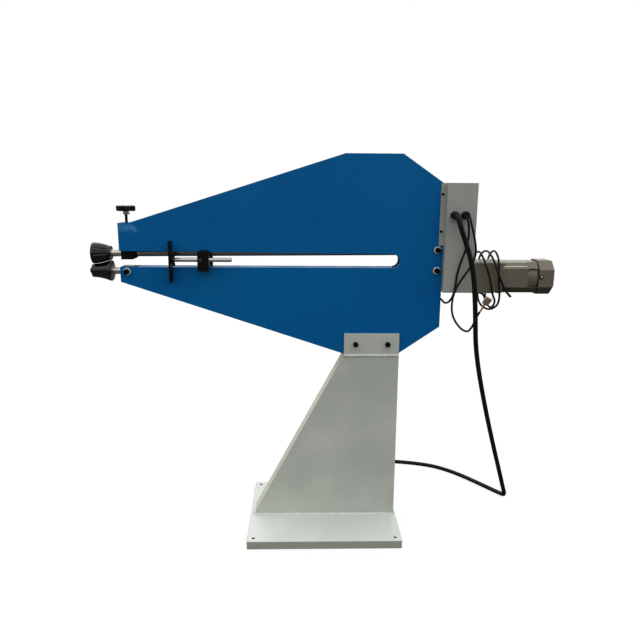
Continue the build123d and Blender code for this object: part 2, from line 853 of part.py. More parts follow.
upper_die_bolt = die_bolt(upper_axis, die_front_station + die_recess_depth, nose_end_station)
lower_die_bolt = die_bolt(lower_axis, lower_front_station, lower_nose_station)

# Sleeve coupling and the gearbox's output shaft, in line with the lower shaft
coupling_end = coupling_station + coupling_length
shaft_coupling = turned(
    lower_axis,
    ring_outline(coupling_station, coupling_end, gear_seat_radius + seat_fit, coupling_diameter / 2),
)
gearbox_face_station = cabinet_right_x - rear_bearing_x
gearbox_output_shaft = turned(
    lower_axis,
    ring_outline(output_end_station, gearbox_face_station + gearbox_pilot_length, 0, gear_seat_radius),
)

# Nut block at the top of the upper jaw, and the screw, shoe, knob and lock nut
with BuildPart() as screw_nut_block:
    with BuildSketch(Plane.XY.offset(nut_block_bottom_z)):
        with Locations((front_bearing_x, 0)):
            Rectangle(front_block_length, plate_gap)
            Circle(feed_screw_diameter / 2 + pivot_fit, mode=Mode.SUBTRACT)
    extrude(amount=nut_block_height)

with BuildPart() as thrust_shoe:
    with BuildSketch(side_plane(0)):
        with Locations((front_bearing_x, shoe_bottom_z)):
            Rectangle(shoe_flange_width, shoe_flange_height, align=(Align.CENTER, Align.MIN))
            Rectangle(shoe_neck_width, shoe_top_z - shoe_bottom_z, align=(Align.CENTER, Align.MIN))
    extrude(amount=shoe_length / 2, both=True)
    with BuildSketch(Plane.XY.offset(shoe_top_z)):
        with Locations((front_bearing_x, 0)):
            Circle(feed_tip_diameter / 2 + pivot_fit)
    extrude(amount=-feed_tip_length - face_gap, mode=Mode.SUBTRACT)

feed_axis = Plane(origin=(front_bearing_x, 0, shoe_top_z), x_dir=(0, 0, 1), z_dir=(0, -1, 0))
screw_top = knob_bottom_z + knob_height / 2 - shoe_top_z
pressure_screw = turned(
    feed_axis,
    [
        (-feed_tip_length, 0),
        (screw_top, 0),
        (screw_top, feed_screw_diameter / 2),
        (face_gap, feed_screw_diameter / 2),
        (face_gap, feed_tip_diameter / 2),
        (-feed_tip_length, feed_tip_diameter / 2),
    ],
)

with BuildPart() as star_knob:
    with BuildSketch(Plane.XY.offset(knob_bottom_z)):
        with Locations((front_bearing_x, 0)):
            Circle(knob_core_radius)
            with PolarLocations(knob_lobe_circle, knob_lobes):
                Circle(knob_lobe_radius)
    extrude(amount=knob_height)
    fillet(faces().group_by(Axis.Z)[-1].edges(), knob_edge_radius)
    fillet(faces().group_by(Axis.Z)[0].edges(), knob_edge_radius)
    with BuildSketch(Plane.XY.offset(knob_bottom_z)):
        with Locations((front_bearing_x, 0)):
            Circle(feed_screw_diameter / 2 + seat_fit)
    extrude(amount=knob_height / 2, mode=Mode.SUBTRACT)

with BuildPart() as lock_nut:
    with BuildSketch(Plane.XY.offset(knob_bottom_z - lock_nut_height)):
        with Locations((front_bearing_x, 0)):
            RegularPolygon(lock_nut_width / 2, 6, major_radius=False)
            Circle(feed_screw_diameter / 2 + seat_fit, mode=Mode.SUBTRACT)
    extrude(amount=lock_nut_height)

# Cabinet round the gears and the controls: a folded shell with a flange on the front plate
cover_screw_sites = [
    (x, z)
    for x in (cabinet_left_x + cover_screw_inset, cabinet_right_x - cover_screw_inset)
    for z in (cabinet_bottom_z + cover_screw_inset, cabinet_top_z - cover_screw_inset)
]
with BuildPart() as cabinet_shell:
    inner_width = cabinet_width - 2 * cabinet_sheet
    inner_height = cabinet_height - 2 * cabinet_sheet
    with BuildSketch(side_plane(cover_inner_y)):
        with Locations((cabinet_middle_x, cabinet_middle_z)):
            Rectangle(cabinet_width, cabinet_height)
    extrude(amount=cabinet_depth - cabinet_sheet)
    with BuildSketch(side_plane(lip_inner_y)):
        with Locations((cabinet_middle_x, cabinet_middle_z)):
            Rectangle(inner_width, inner_height)
    extrude(amount=cabinet_depth - 3 * cabinet_sheet, mode=Mode.SUBTRACT)
    with BuildSketch(side_plane(cover_inner_y)):
        with Locations((cabinet_middle_x, cabinet_middle_z)):
            Rectangle(inner_width - 2 * cabinet_lip, inner_height - 2 * cabinet_lip)
        with Locations(*cover_screw_sites):
            Circle(small_screw_diameter / 2 + seat_fit)
    extrude(amount=cabinet_sheet, mode=Mode.SUBTRACT)
    with BuildSketch(Plane.YZ.offset(cabinet_left_x)):
        with Locations((0, cabinet_bottom_z + cabinet_sheet)):
            Rectangle(
                plate_gap,
                bracket_leg_top_z + face_gap - cabinet_bottom_z - cabinet_sheet,
                align=(Align.CENTER, Align.MIN),
            )
    extrude(amount=cabinet_sheet, mode=Mode.SUBTRACT)
    with BuildSketch(Plane.YZ.offset(cabinet_right_x)):
        with Locations((0, lower_axis_z)):
            Circle(bracket_bore_diameter / 2)
        with Locations((0, motor_axis_z)):
            with GridLocations(gearbox_screw_spacing_y, gearbox_screw_spacing_z, 2, 2):
                Circle(gearbox_screw_diameter / 2 + seat_fit)
    extrude(amount=-cabinet_sheet, mode=Mode.SUBTRACT)
    with BuildSketch(side_plane(cabinet_front_y)):
        with Locations((gland_x, gland_z), (gland_x + gland_spacing, gland_z)):
            Circle(gland_thread_radius + seat_fit)
    extrude(amount=-cabinet_sheet, mode=Mode.SUBTRACT)
    with BuildSketch(side_plane(-frame_half)):
        with Locations((cabinet_left_x - flange_width, flange_bottom_z)):
            Rectangle(
                flange_width + cabinet_sheet, flange_top_z - flange_bottom_z, align=(Align.MIN, Align.MIN)
            )
        with Locations(*flange_screw_sites):
            Circle(small_screw_diameter / 2 + seat_fit, mode=Mode.SUBTRACT)
    extrude(amount=cabinet_sheet)

with BuildPart() as cabinet_cover:
    with BuildSketch(side_plane(cabinet_back_y)):
        with Locations((cabinet_middle_x, cabinet_middle_z)):
            Rectangle(cabinet_width, cabinet_height)
        with Locations(*cover_screw_sites):
            Circle(small_screw_diameter / 2 + seat_fit, mode=Mode.SUBTRACT)
    extrude(amount=cabinet_sheet)

with BuildPart() as cabinet_screws:
    flange_face_y = -frame_half - cabinet_sheet
    with BuildSketch(side_plane(flange_face_y)):
        with Locations(*flange_screw_sites):
            Circle(small_screw_head_diameter / 2)
    extrude(amount=small_screw_head_height)
    with BuildSketch(side_plane(flange_face_y)):
        with Locations(*flange_screw_sites):
            Circle(small_screw_diameter / 2)
    extrude(amount=-(cabinet_sheet + plate_thickness))
    with BuildSketch(side_plane(cabinet_back_y)):
        with Locations(*cover_screw_sites):
            Circle(small_screw_head_diameter / 2)
    extrude(amount=-small_screw_head_height)
    with BuildSketch(side_plane(cabinet_back_y)):
        with Locations(*cover_screw_sites):
            Circle(small_screw_diameter / 2)
    extrude(amount=cabinet_sheet + small_screw_diameter)

# Finned speed controller on the cabinet's right wall
with BuildPart() as speed_controller:
    wall_x = cabinet_right_x - cabinet_sheet
    fin_pitch = controller_depth / controller_fins
    with BuildSketch(Plane.XY.offset(controller_bottom_z)):
        with Locations((wall_x, 0)):
            Rectangle(controller_width - controller_fin_height, controller_depth, align=(Align.MAX, Align.CENTER))
        with Locations((wall_x - controller_width, 0)):
            with GridLocations(0, fin_pitch, 1, controller_fins):
                Rectangle(controller_fin_height, fin_pitch / 3, align=(Align.MIN, Align.CENTER))
    extrude(amount=controller_height)


def gland(x):
    """Build a cable gland through the cabinet's front wall, with its nut inside."""
    axis_plane = Plane(origin=(x, cabinet_front_y, gland_z), x_dir=(0, -1, 0), z_dir=(1, 0, 0))
    nut_start = -cabinet_sheet - gland_nut_thickness
    body = turned(
        axis_plane,
        [
            (nut_start, 0),
            (gland_length, 0),
            (gland_length, 0.8 * gland_cap_radius),
            (0.85 * gland_length, gland_cap_radius),
            (0.42 * gland_length, gland_cap_radius),
            (0.42 * gland_length, 0.88 * gland_cap_radius),
            (0.3 * gland_length, 0.88 * gland_cap_radius),
            (0.3 * gland_length, gland_hex_radius),
            (0, gland_hex_radius),
            (0, gland_thread_radius),
            (nut_start, gland_thread_radius),
        ],
    )
    with BuildPart() as piece:
        add(body.part)
        with BuildSketch(across(axis_plane, nut_start)):
            RegularPolygon(gland_hex_radius, 6)
            Circle(gland_thread_radius + seat_fit, mode=Mode.SUBTRACT)
        extrude(amount=gland_nut_thickness)
    return piece


gland_mains = gland(gland_x)
gland_leads = gland(gland_x + gland_spacing)

# Bracket that carries the gear motor: a web inside the cabinet and two legs between the frame plates
with BuildPart() as motor_bracket:
    web_left_x = cabinet_right_x - cabinet_sheet - bracket_web_thickness
    web_bottom_z = cabinet_bottom_z + cabinet_sheet
    with BuildSketch(Plane.YZ.offset(web_left_x)):
        with Locations((0, web_bottom_z)):
            Rectangle(
                2 * bracket_web_half_width, bracket_leg_top_z - web_bottom_z, align=(Align.CENTER, Align.MIN)
            )
        with Locations((0, lower_axis_z)):
            Circle(bracket_bore_diameter / 2, mode=Mode.SUBTRACT)
        with Locations((0, motor_axis_z)):
            with GridLocations(gearbox_screw_spacing_y, gearbox_screw_spacing_z, 2, 2):
                Circle(gearbox_screw_diameter / 2 + seat_fit, mode=Mode.SUBTRACT)
    extrude(amount=bracket_web_thickness)
    for leg_bottom_z in (web_bottom_z, bracket_leg_top_z - bracket_leg_thickness):
        with BuildSketch(side_plane(0)):
            with Locations((frame_right_x - bracket_leg_reach, leg_bottom_z)):
                Rectangle(
                    web_left_x - frame_right_x + bracket_leg_reach,
                    bracket_leg_thickness,
                    align=(Align.MIN, Align.MIN),
                )
        extrude(amount=plate_gap / 2, both=True)

with BuildPart() as gearbox_screws:
    with BuildSketch(Plane.YZ.offset(web_left_x)):
        with Locations((0, motor_axis_z)):
            with GridLocations(gearbox_screw_spacing_y, gearbox_screw_spacing_z, 2, 2):
                Circle(gearbox_screw_diameter / 2)
    extrude(amount=bracket_web_thickness + cabinet_sheet + gearbox_screw_depth - face_gap)
    with BuildSketch(Plane.YZ.offset(web_left_x)):
        with Locations((0, motor_axis_z)):
            with GridLocations(gearbox_screw_spacing_y, gearbox_screw_spacing_z, 2, 2):
                Circle(gearbox_screw_diameter * 0.8)
    extrude(amount=-gearbox_screw_diameter)

# Gear motor: gearbox, flange, motor body with four flat panels, band and fan cover
with BuildPart() as gearbox_case:
    with BuildSketch(Plane.YZ.offset(cabinet_right_x)):
        with Locations((0, motor_axis_z)):
            Rectangle(motor_width, motor_width)
        chamfer(vertices(), motor_edge_chamfer)
    extrude(amount=gearbox_length)
    with BuildSketch(Plane.YZ.offset(neck_start_x)):
        with Locations((0, motor_axis_z)):
            Rectangle(motor_width - 2 * gearbox_neck_inset, motor_width - 2 * gearbox_neck_inset)
        chamfer(vertices(), motor_edge_chamfer)
    extrude(amount=gearbox_neck_length)
    with BuildSketch(Plane.YZ.offset(cabinet_right_x)):
        with Locations((0, lower_axis_z)):
            Circle(gear_seat_radius + running_fit)
    extrude(amount=gearbox_pilot_length + face_gap, mode=Mode.SUBTRACT)
    with BuildSketch(Plane.YZ.offset(cabinet_right_x)):
        with Locations((0, motor_axis_z)):
            with GridLocations(gearbox_screw_spacing_y, gearbox_screw_spacing_z, 2, 2):
                Circle(gearbox_screw_diameter / 2 + seat_fit)
    extrude(amount=gearbox_screw_depth, mode=Mode.SUBTRACT)

with BuildPart() as gearbox_flange:
    with BuildSketch(Plane.YZ.offset(gearbox_flange_x)):
        with Locations((0, motor_axis_z)):
            Rectangle(motor_width, motor_width)
        chamfer(vertices(), motor_edge_chamfer)
    extrude(amount=gearbox_flange_length)

with BuildPart() as motor_body:
    with BuildSketch(Plane.YZ.offset(motor_start_x)):
        with Locations((0, motor_axis_z)):
            Rectangle(motor_width, motor_width)
        chamfer(vertices(), motor_corner_cut)
    extrude(amount=motor_flat_length)
    with BuildSketch(Plane.YZ.offset(motor_round_x)):
        with Locations((0, motor_axis_z)):
            Rectangle(motor_width, motor_width)
        chamfer(vertices(), motor_corner_cut)
        with Locations((0, motor_axis_z)):
            Rectangle(motor_width, motor_width - 2 * motor_corner_cut, mode=Mode.SUBTRACT)
            Circle(motor_width / 2)
    extrude(amount=motor_round_length)

with BuildPart() as motor_band:
    with BuildSketch(Plane.YZ.offset(motor_band_x)):
        with Locations((0, motor_axis_z)):
            Circle(motor_width / 2 - motor_band_inset)
    extrude(amount=motor_band_length)

with BuildPart() as fan_cover:
    with BuildSketch(Plane.YZ.offset(fan_cover_x)):
        with Locations((0, motor_axis_z)):
            Rectangle(fan_cover_width, fan_cover_width)
        chamfer(vertices(), fan_cover_corner_cut)
    extrude(amount=fan_cover_length)
    fillet(faces().sort_by(Axis.X)[-1].edges(), fan_cover_end_radius)

# Sheet guide: a block with a tongue in the throat, a backing plate, and a rod with a fence
with BuildPart() as guide_clamp:
    with BuildSketch(side_plane(guide_back_y)):
        with Locations((guide_x, guide_z)):
            RectangleRounded(guide_width, guide_height, guide_corner_radius)
    extrude(amount=guide_block_depth)
    with BuildSketch(side_plane(guide_back_y)):
        with Locations((guide_x, tongue_middle_z)):
            Rectangle(guide_tongue_width, guide_tongue_height)
    extrude(amount=guide_back_y - frame_half)
    with BuildSketch(Plane.YZ.offset(guide_x)):
        with Locations((rod_y, rod_z)):
            Circle(rod_diameter / 2 + pivot_fit)
    extrude(amount=guide_width, both=True, mode=Mode.SUBTRACT)
    with BuildSketch(side_plane(frame_half)):
        with Locations((guide_x, tongue_middle_z)):
            Circle(guide_bolt_diameter / 2 + seat_fit)
    extrude(amount=guide_bolt_depth, mode=Mode.SUBTRACT)
    with BuildSketch(side_plane(guide_front_y)):
        with Locations((guide_x - rod_screw_offset, rod_z)):
            Circle(rod_screw_diameter / 2 + seat_fit)
    extrude(amount=guide_front_y - rod_y, mode=Mode.SUBTRACT)

with BuildPart() as clamp_backing:
    with BuildSketch(side_plane(frame_half + slide_gap)):
        with Locations((guide_x, guide_z)):
            RectangleRounded(guide_width, guide_height, guide_corner_radius)
        with Locations((guide_x, tongue_middle_z)):
            Circle(guide_bolt_diameter / 2 + seat_fit, mode=Mode.SUBTRACT)
    extrude(amount=-guide_backing_depth)

with BuildPart() as clamp_screws:
    backing_face_y = frame_half + slide_gap + guide_backing_depth
    with BuildSketch(side_plane(backing_face_y)):
        with Locations((guide_x, tongue_middle_z)):
            Circle(guide_bolt_head_diameter / 2)
    extrude(amount=-guide_bolt_head_height)
    with BuildSketch(side_plane(backing_face_y)):
        with Locations((guide_x, tongue_middle_z)):
            Circle(guide_bolt_diameter / 2)
    extrude(amount=backing_face_y - frame_half + guide_bolt_depth - face_gap)
    with BuildSketch(side_plane(guide_front_y)):
        with Locations((guide_x - rod_screw_offset, rod_z)):
            Circle(rod_screw_diameter / 2)
    extrude(amount=guide_front_y - rod_y + rod_diameter / 2 + face_gap)

with BuildPart() as guide_rod:
    with BuildSketch(Plane.YZ.offset(rod_left_x)):
        with Locations((rod_y, rod_z)):
            Circle(rod_diameter / 2)
    extrude(amount=rod_right_x - rod_left_x)
    chamfer(edges().filter_by(GeomType.CIRCLE), rod_diameter / 12)

with BuildPart() as fence_plate:
    with BuildSketch(Plane.YZ.offset(fence_left_x)):
        with Locations((fence_middle_y, fence_z)):
            Rectangle(fence_depth, fence_height)
        with Locations((rod_y, rod_z)):
            Circle(rod_diameter / 2 + seat_fit, mode=Mode.SUBTRACT)
    extrude(amount=fence_thickness)

with BuildPart() as fence_nut:
    with BuildSketch(Plane.YZ.offset(fence_left_x + fence_thickness)):
        with Locations((rod_y, rod_z)):
            RegularPolygon(fence_nut_width / 2, 6, major_radius=False)
            Circle(rod_diameter / 2 + seat_fit, mode=Mode.SUBTRACT)
    extrude(amount=fence_nut_height)


def corner_radii(points):
    """Return the largest radius that each corner's two runs leave room for."""
    radii = []
    for before, corner, after in zip(points, points[1:], points[2:]):
        run_in = Vector(corner) - Vector(before)
        run_out = Vector(after) - Vector(corner)
        half_turn = radians(run_in.get_angle(run_out)) / 2
        radii.append(corner_share * min(run_in.length, run_out.length) / tan(half_turn))
    return radii


def report_tube(name, tube, diameter, length):
    """Print a tube's volume against its section times its length."""
    section = pi * diameter**2 / 4
    print(name, "length", round(length, 1), "volume ratio", round(tube.part.volume / (section * length), 4))


def cord(name, points, diameter):
    """Sweep a cord along straight runs joined by tangent arcs."""
    radii = corner_radii(points)
    print(name, "radii in diameters", [round(radius / diameter, 1) for radius in radii])
    with BuildPart() as tube:
        with BuildLine() as route:
            FilletPolyline(*points, radius=radii)
        with BuildSketch(Plane(origin=points[0], z_dir=Vector(points[1]) - Vector(points[0]))):
            Circle(diameter / 2)
        sweep(path=route.wire())
    report_tube(name, tube, diameter, route.wire().length)
    return tube


def biarc_middle(start, start_direction, end, end_direction):
    """Return the point where two tangent arcs meet, and the direction there."""
    chord = end - start
    turn_sum = start_direction + end_direction
    square = turn_sum.dot(turn_sum) - 4
    linear = -2 * chord.dot(turn_sum)
    reach = (-linear - sqrt(linear**2 - 4 * square * chord.dot(chord))) / (2 * square)
    first = start + start_direction * reach
    second = end - end_direction * reach
    return (first + second) / 2, second - first


def wound_cord(name, places, diameter, end_length):
    """Sweep a wound cord through (point, direction) places, with a straight end at each side."""
    first_point, first_direction = places[0]
    last_point, last_direction = places[-1]
    tail_start = first_point - first_direction * diameter
    tail_end = last_point + last_direction * end_length
    with BuildPart() as tube:
        with BuildLine() as route:
            Line(tail_start, first_point)
            for (start, start_direction), (end, end_direction) in zip(places, places[1:]):
                middle, middle_direction = biarc_middle(start, start_direction, end, end_direction)
                TangentArc(start, middle, tangent=start_direction)
                TangentArc(middle, end, tangent=middle_direction)
            Line(last_point, tail_end)
        with BuildSketch(Plane(origin=tail_start, z_dir=first_direction)):
            Circle(diameter / 2)
        sweep(path=route.wire())
    path = route.wire()
    report_tube(name, tube, diameter, path.length)
    count = int(path.length / diameter * 2)
    spots = [path.position_at(index / count) for index in range(count + 1)]
    apart = 8
    gaps = [
        (spots[i] - spots[j]).length - diameter
        for i in range(count + 1)
        for j in range(i + apart, count + 1)
    ]
    print(name, "least gap to itself", round(min(gaps), 2))
    return tube


def places_along(curve, stations):
    """Return the points and unit directions of a curve formula at these stations."""
    small = 0.001
    return [(curve(at), (curve(at + small) - curve(at - small)).normalized()) for at in stations]


def coil_curve(turn):
    """Return the mains coil's middle line: in along the floor, then up a layer and out again."""
    inward = min(turn, coil_turns_in)
    radius = coil_outer_radius - coil_step * (inward - max(turn - coil_turns_in, 0))
    share = min(max((turn - coil_climb_start) / (coil_climb_end - coil_climb_start), 0), 1)
    angle = 2 * pi * turn + pi / 2
    height = mains_diameter / 2 + coil_layer_rise * (1 - cos(pi * share)) / 2
    return Vector(coil_center_x + radius * cos(angle), coil_center_y + radius * sin(angle), height)


def smooth_places(points, first_direction, last_direction):
    """Return (point, direction) places through these points, each inner one heading past its neighbours."""
    inner = [
        (Vector(point), (Vector(after) - Vector(before)).normalized())
        for before, point, after in zip(points, points[1:], points[2:])
    ]
    return [(Vector(points[0]), first_direction), *inner, (Vector(points[-1]), last_direction)]


# Mains coil put away behind the pedestal, the cable that leads to it, and the plug
coil_stations = [0.25 * quarter for quarter in range(int(4 * coil_turns) + 1)]
coil_places = places_along(coil_curve, coil_stations)
mains_coil = wound_cord("mains_coil", coil_places, mains_diameter, coil_tail)
coil_entry = coil_places[0][0] - coil_places[0][1] * mains_diameter
coil_exit = coil_places[-1][0] + coil_places[-1][1] * coil_tail
floor_z = mains_diameter / 2
mains_points = [
    (gland_x, gland_face_y, gland_z),
    (gland_x, -96, gland_z),
    (411.5, -110, 1076),
    (418, -113, 1052),
    (435, -107, 1012),
    (453, -101, 968),
    (467, -96, 922),
    (478, -90, 869),
    (486, -82, 812),
    (497, -68, 743),
    (511, -46, 655),
    (533, -20, 556),
    (561, 8, 448),
    (597, 40, 330),
    (640, 76, 204),
    (674, 104, 109),
    (694, 120, 52),
    (702, 129, 27),
    (707, 141, 13.5),
    (704, 155, floor_z + 0.6),
    (692, 169, floor_z),
    (664, 191.5, floor_z),
    (627, 250, floor_z),
    (581, 307, floor_z),
    (537, 352, floor_z),
    (488, 387, floor_z),
    (428, 408, floor_z),
    (360, 421, floor_z),
    (290, 431, floor_z),
    tuple(coil_entry - coil_places[0][1] * 3 * mains_diameter),
    tuple(coil_entry),
]
mains_cable = cord("mains_cable", mains_points, mains_diameter)

plug_axis = Plane(origin=coil_exit, x_dir=coil_places[-1][1], z_dir=(0, 0, 1))
plug_flange_radius = coil_exit.Z
plug_body_start = plug_nut_length
plug_flange_start = plug_body_start + plug_body_length
plug_shroud_start = plug_flange_start + plug_flange_length
plug_end = plug_shroud_start + plug_shroud_length
plug_body = turned(
    plug_axis,
    [
        (0, 0),
        (plug_shroud_start, 0),
        (plug_shroud_start, plug_shroud_radius - plug_shroud_wall),
        (plug_end, plug_shroud_radius - plug_shroud_wall),
        (plug_end, plug_shroud_radius),
        (plug_shroud_start, plug_shroud_radius),
        (plug_shroud_start, plug_flange_radius),
        (plug_flange_start, plug_flange_radius),
        (plug_flange_start, plug_body_radius),
        (plug_body_start, 0.85 * plug_body_radius),
        (plug_body_start, plug_nut_radius),
        (0, 0.8 * plug_nut_radius),
    ],
)
with BuildPart() as mains_plug:
    add(plug_body.part)
    with BuildSketch(across(plug_axis, plug_shroud_start)):
        with PolarLocations(plug_pin_circle, 3):
            Circle(plug_pin_radius)
    extrude(amount=plug_pin_length)

# Lead from the right gland, under the cabinet and into the frame
lead_offset = lead_diameter * 0.75
right_gland_x = gland_x + gland_spacing
frame_lead_points = [
    (right_gland_x - lead_offset, gland_face_y, gland_z),
    (right_gland_x - lead_offset, -97, gland_z),
    (446, -98, 1064),
    (452, -86, 1036),
    (454, -73, 1006),
    (448, -65, 968),
    (436, -62, 933),
    (427, -63, 898),
    (424, -64, 862),
    (421, -61, 833),
    (415, -45, 808),
    (407, -22, 799),
    (402, -7, 802),
    (frame_right_x + frame_grommet_length + lead_run_in, 0, frame_grommet_z),
    (frame_right_x + frame_grommet_length, 0, frame_grommet_z),
]
frame_lead = cord("frame_lead", frame_lead_points, lead_diameter)

# Lead from the right gland down to the motor's connector, ending in two bare wires
control_lead_points = [
    (right_gland_x + lead_offset, gland_face_y, gland_z),
    (right_gland_x + lead_offset, -97, gland_z),
    (454, -99, 1062),
    (465, -90, 1034),
    (476, -78, 1004),
    (483, -70, 974),
    (480, -67, 946),
    (467, -68, 918),
    (448, -70, 892),
    (429, -75, 865),
    (417, -79, 839),
    (411, -82, 812),
    (410, -85, 782),
    (418, -87, 753),
    (438, -87, 725),
    (460, -86, 715),
    (478, connector_y, 728),
    tuple(lead_end - connector_axis * 24),
    tuple(lead_end),
]
control_cord = cord("control_lead", control_lead_points, lead_diameter)
with BuildPart() as control_lead:
    add(control_cord.part)
    with BuildSketch(Plane(origin=lead_end, x_dir=(0, 1, 0), z_dir=connector_axis)):
        with GridLocations(wire_spacing, 0, 2, 1):
            Circle(wire_diameter / 2)
    extrude(amount=wire_length)

# Connector in two halves, and the motor's lead wound three times round the gearbox
with BuildPart() as motor_connector:
    half_length = connector_length / 2
    for end, amount in ((connector_bottom, half_length - seat_fit), (connector_top, seat_fit - half_length)):
        with BuildSketch(Plane(origin=end, x_dir=(0, 1, 0), z_dir=connector_axis)):
            RectangleRounded(connector_depth, connector_width, lead_diameter / 3)
        extrude(amount=amount)

motor_side_y = motor_width / 2
first_turn_x = winding_start_x
second_turn_x = winding_start_x - winding_pitch
third_turn_x = winding_start_x - 2 * winding_pitch
winding_front_y = -winding_radius
winding_back_y = winding_radius
winding_top_z = motor_axis_z + winding_radius
winding_low_z = motor_axis_z - winding_drop
connector_back = connector_center + connector_axis * 3 + Vector(0, connector_depth / 2, 0)
motor_lead_points = [
    (winding_exit_x, motor_side_y + grommet_length + lead_diameter, motor_axis_z),
    (winding_exit_x + 3, winding_back_y, motor_axis_z - 34),
    (winding_exit_x, 44, motor_axis_z - 67),
    (winding_exit_x - 8, -18, motor_axis_z - 69),
    (second_turn_x + winding_lean + 19, -52, motor_axis_z - 61),
    (second_turn_x + winding_lean, winding_front_y + 14, motor_axis_z - 36),
    (second_turn_x + 18, winding_front_y - 2, motor_axis_z + 11),
    (second_turn_x + 4, winding_front_y + 22, motor_axis_z + 60),
    (second_turn_x, 0, winding_top_z),
    (second_turn_x - 3, winding_back_y - 18, motor_axis_z + 58),
    (second_turn_x - 6, winding_back_y, motor_axis_z),
    (second_turn_x - 8, winding_back_y - 32, motor_axis_z - 65),
    (second_turn_x - 7, 18, winding_low_z + 15),
    (second_turn_x + 14, -8, winding_low_z),
    (first_turn_x + 9, -27, winding_low_z + 15),
    (first_turn_x + 10, winding_front_y + 37, motor_axis_z - 66),
    (first_turn_x + 2, winding_front_y + 16, motor_axis_z - 31),
    (first_turn_x - 3, winding_front_y + 14, motor_axis_z + 8),
    (first_turn_x - 2, winding_front_y + 24, motor_axis_z + 58),
    (first_turn_x, 0, winding_top_z),
    (first_turn_x + 2, winding_back_y - 18, motor_axis_z + 58),
    (first_turn_x + 2, winding_back_y + 6, motor_axis_z),
    (first_turn_x, winding_back_y - 6, motor_axis_z - 57),
    (first_turn_x - 1, 42, winding_low_z + 18),
    (first_turn_x + 2, 18, winding_low_z + 5),
    (first_turn_x + 5, 0, winding_low_z + 11),
    (first_turn_x + 3, -22, winding_low_z + 30),
    (first_turn_x - 17, winding_front_y + 26, motor_axis_z - 51),
    (third_turn_x + 17, winding_front_y + 12, motor_axis_z + 8),
    (third_turn_x - 2, winding_front_y + 22, motor_axis_z + 64),
    (third_turn_x, 0, winding_top_z - 4),
    (third_turn_x, winding_back_y - 18, motor_axis_z + 58),
    (third_turn_x + 2, winding_back_y + 6, motor_axis_z),
    (third_turn_x + 4, winding_back_y - 8, motor_axis_z - 46),
    (third_turn_x + 5, 46, motor_axis_z - 60.5),
    (third_turn_x + 11, 0, motor_axis_z - 58),
    (third_turn_x + 12, -28, motor_axis_z - 59),
    (third_turn_x + 10, -54, motor_axis_z - 64),
    tuple(connector_back + Vector(0, lead_diameter, 0)),
]
motor_lead_places = smooth_places(motor_lead_points, Vector(0, 1, 0), Vector(0, -1, 0))
motor_lead = wound_cord("motor_lead", motor_lead_places, lead_diameter, lead_diameter)

# Grommets where the leads pass into the frame and out of the motor
with BuildPart() as lead_grommets:
    with BuildSketch(Plane.YZ.offset(frame_right_x)):
        with Locations((0, frame_grommet_z)):
            Circle(grommet_radius)
    extrude(amount=frame_grommet_length)
    with BuildSketch(Plane.YZ.offset(frame_right_x)):
        with Locations((0, frame_grommet_z)):
            Circle(lead_diameter / 2 + 1)
    extrude(amount=-edge_strip_thickness)
    with BuildSketch(side_plane(motor_side_y)):
        with Locations((winding_exit_x, motor_axis_z)):
            Circle(grommet_radius)
    extrude(amount=-grommet_length)

# Names and files
pieces = {
    "base_plate": base_plate,
    "pedestal_side_walls": pedestal_side_walls,
    "pedestal_slope_wall": pedestal_slope_wall,
    "pedestal_back_wall": pedestal_back_wall,
    "pedestal_cap_plate": pedestal_cap_plate,
    "frame_brackets": frame_brackets,
    "bracket_bolts": bracket_bolts,
    "frame_plate_front": frame_plate_front,
    "frame_plate_rear": frame_plate_rear,
    "frame_edge_strips": frame_edge_strips,
    "screw_nut_block": screw_nut_block,
    "pressure_screw": pressure_screw,
    "star_knob": star_knob,
    "lock_nut": lock_nut,
    "thrust_shoe": thrust_shoe,
    "upper_front_block": upper_front_block,
    "upper_rear_block": upper_rear_block,
    "upper_bushes": upper_bushes,
    "lower_bearing_blocks": lower_bearing_blocks,
    "lower_bushes": lower_bushes,
    "bearing_screws": bearing_screws,
    "upper_shaft": upper_shaft,
    "lower_shaft": lower_shaft,
    "upper_gear": upper_gear,
    "lower_gear": lower_gear,
    "upper_die": upper_die,
    "lower_die": lower_die,
    "upper_die_bolt": upper_die_bolt,
    "lower_die_bolt": lower_die_bolt,
    "upper_collar": upper_collar,
    "lower_collar": lower_collar,
    "shaft_coupling": shaft_coupling,
    "gearbox_output_shaft": gearbox_output_shaft,
    "motor_bracket": motor_bracket,
    "gearbox_screws": gearbox_screws,
    "gearbox_case": gearbox_case,
    "gearbox_flange": gearbox_flange,
    "motor_body": motor_body,
    "motor_band": motor_band,
    "fan_cover": fan_cover,
    "cabinet_shell": cabinet_shell,
    "cabinet_cover": cabinet_cover,
    "cabinet_screws": cabinet_screws,
    "speed_controller": speed_controller,
    "gland_mains": gland_mains,
    "gland_leads": gland_leads,
    "guide_clamp": guide_clamp,
    "clamp_backing": clamp_backing,
    "clamp_screws": clamp_screws,
    "guide_rod": guide_rod,
    "fence_plate": fence_plate,
    "fence_nut": fence_nut,
    "mains_cable": mains_cable,
    "mains_coil": mains_coil,
    "mains_plug": mains_plug,
    "frame_lead": frame_lead,
    "control_lead": control_lead,
    "motor_lead": motor_lead,
    "motor_connector": motor_connector,
    "lead_grommets": lead_grommets,
}
os.makedirs("parts", exist_ok=True)
for name, piece in pieces.items():
    piece.part.label = name
    export_step(piece.part, f"parts/{name}.step")
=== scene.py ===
"""Electric bead roller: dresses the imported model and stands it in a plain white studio.

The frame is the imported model's: X runs from the dies to the motor, Y away from the
operator's side, Z up, and the floor is at zero. Points and meshes are in metres. Sizes of
pieces are named in millimetres, and mm() and the modelling functions turn them into metres.
"""

import cmath
import logging
import math
from collections.abc import Callable, Iterator, Sequence
from contextlib import contextmanager
from dataclasses import dataclass
from enum import Enum

import bmesh
import bpy
from mathutils import Matrix, Vector


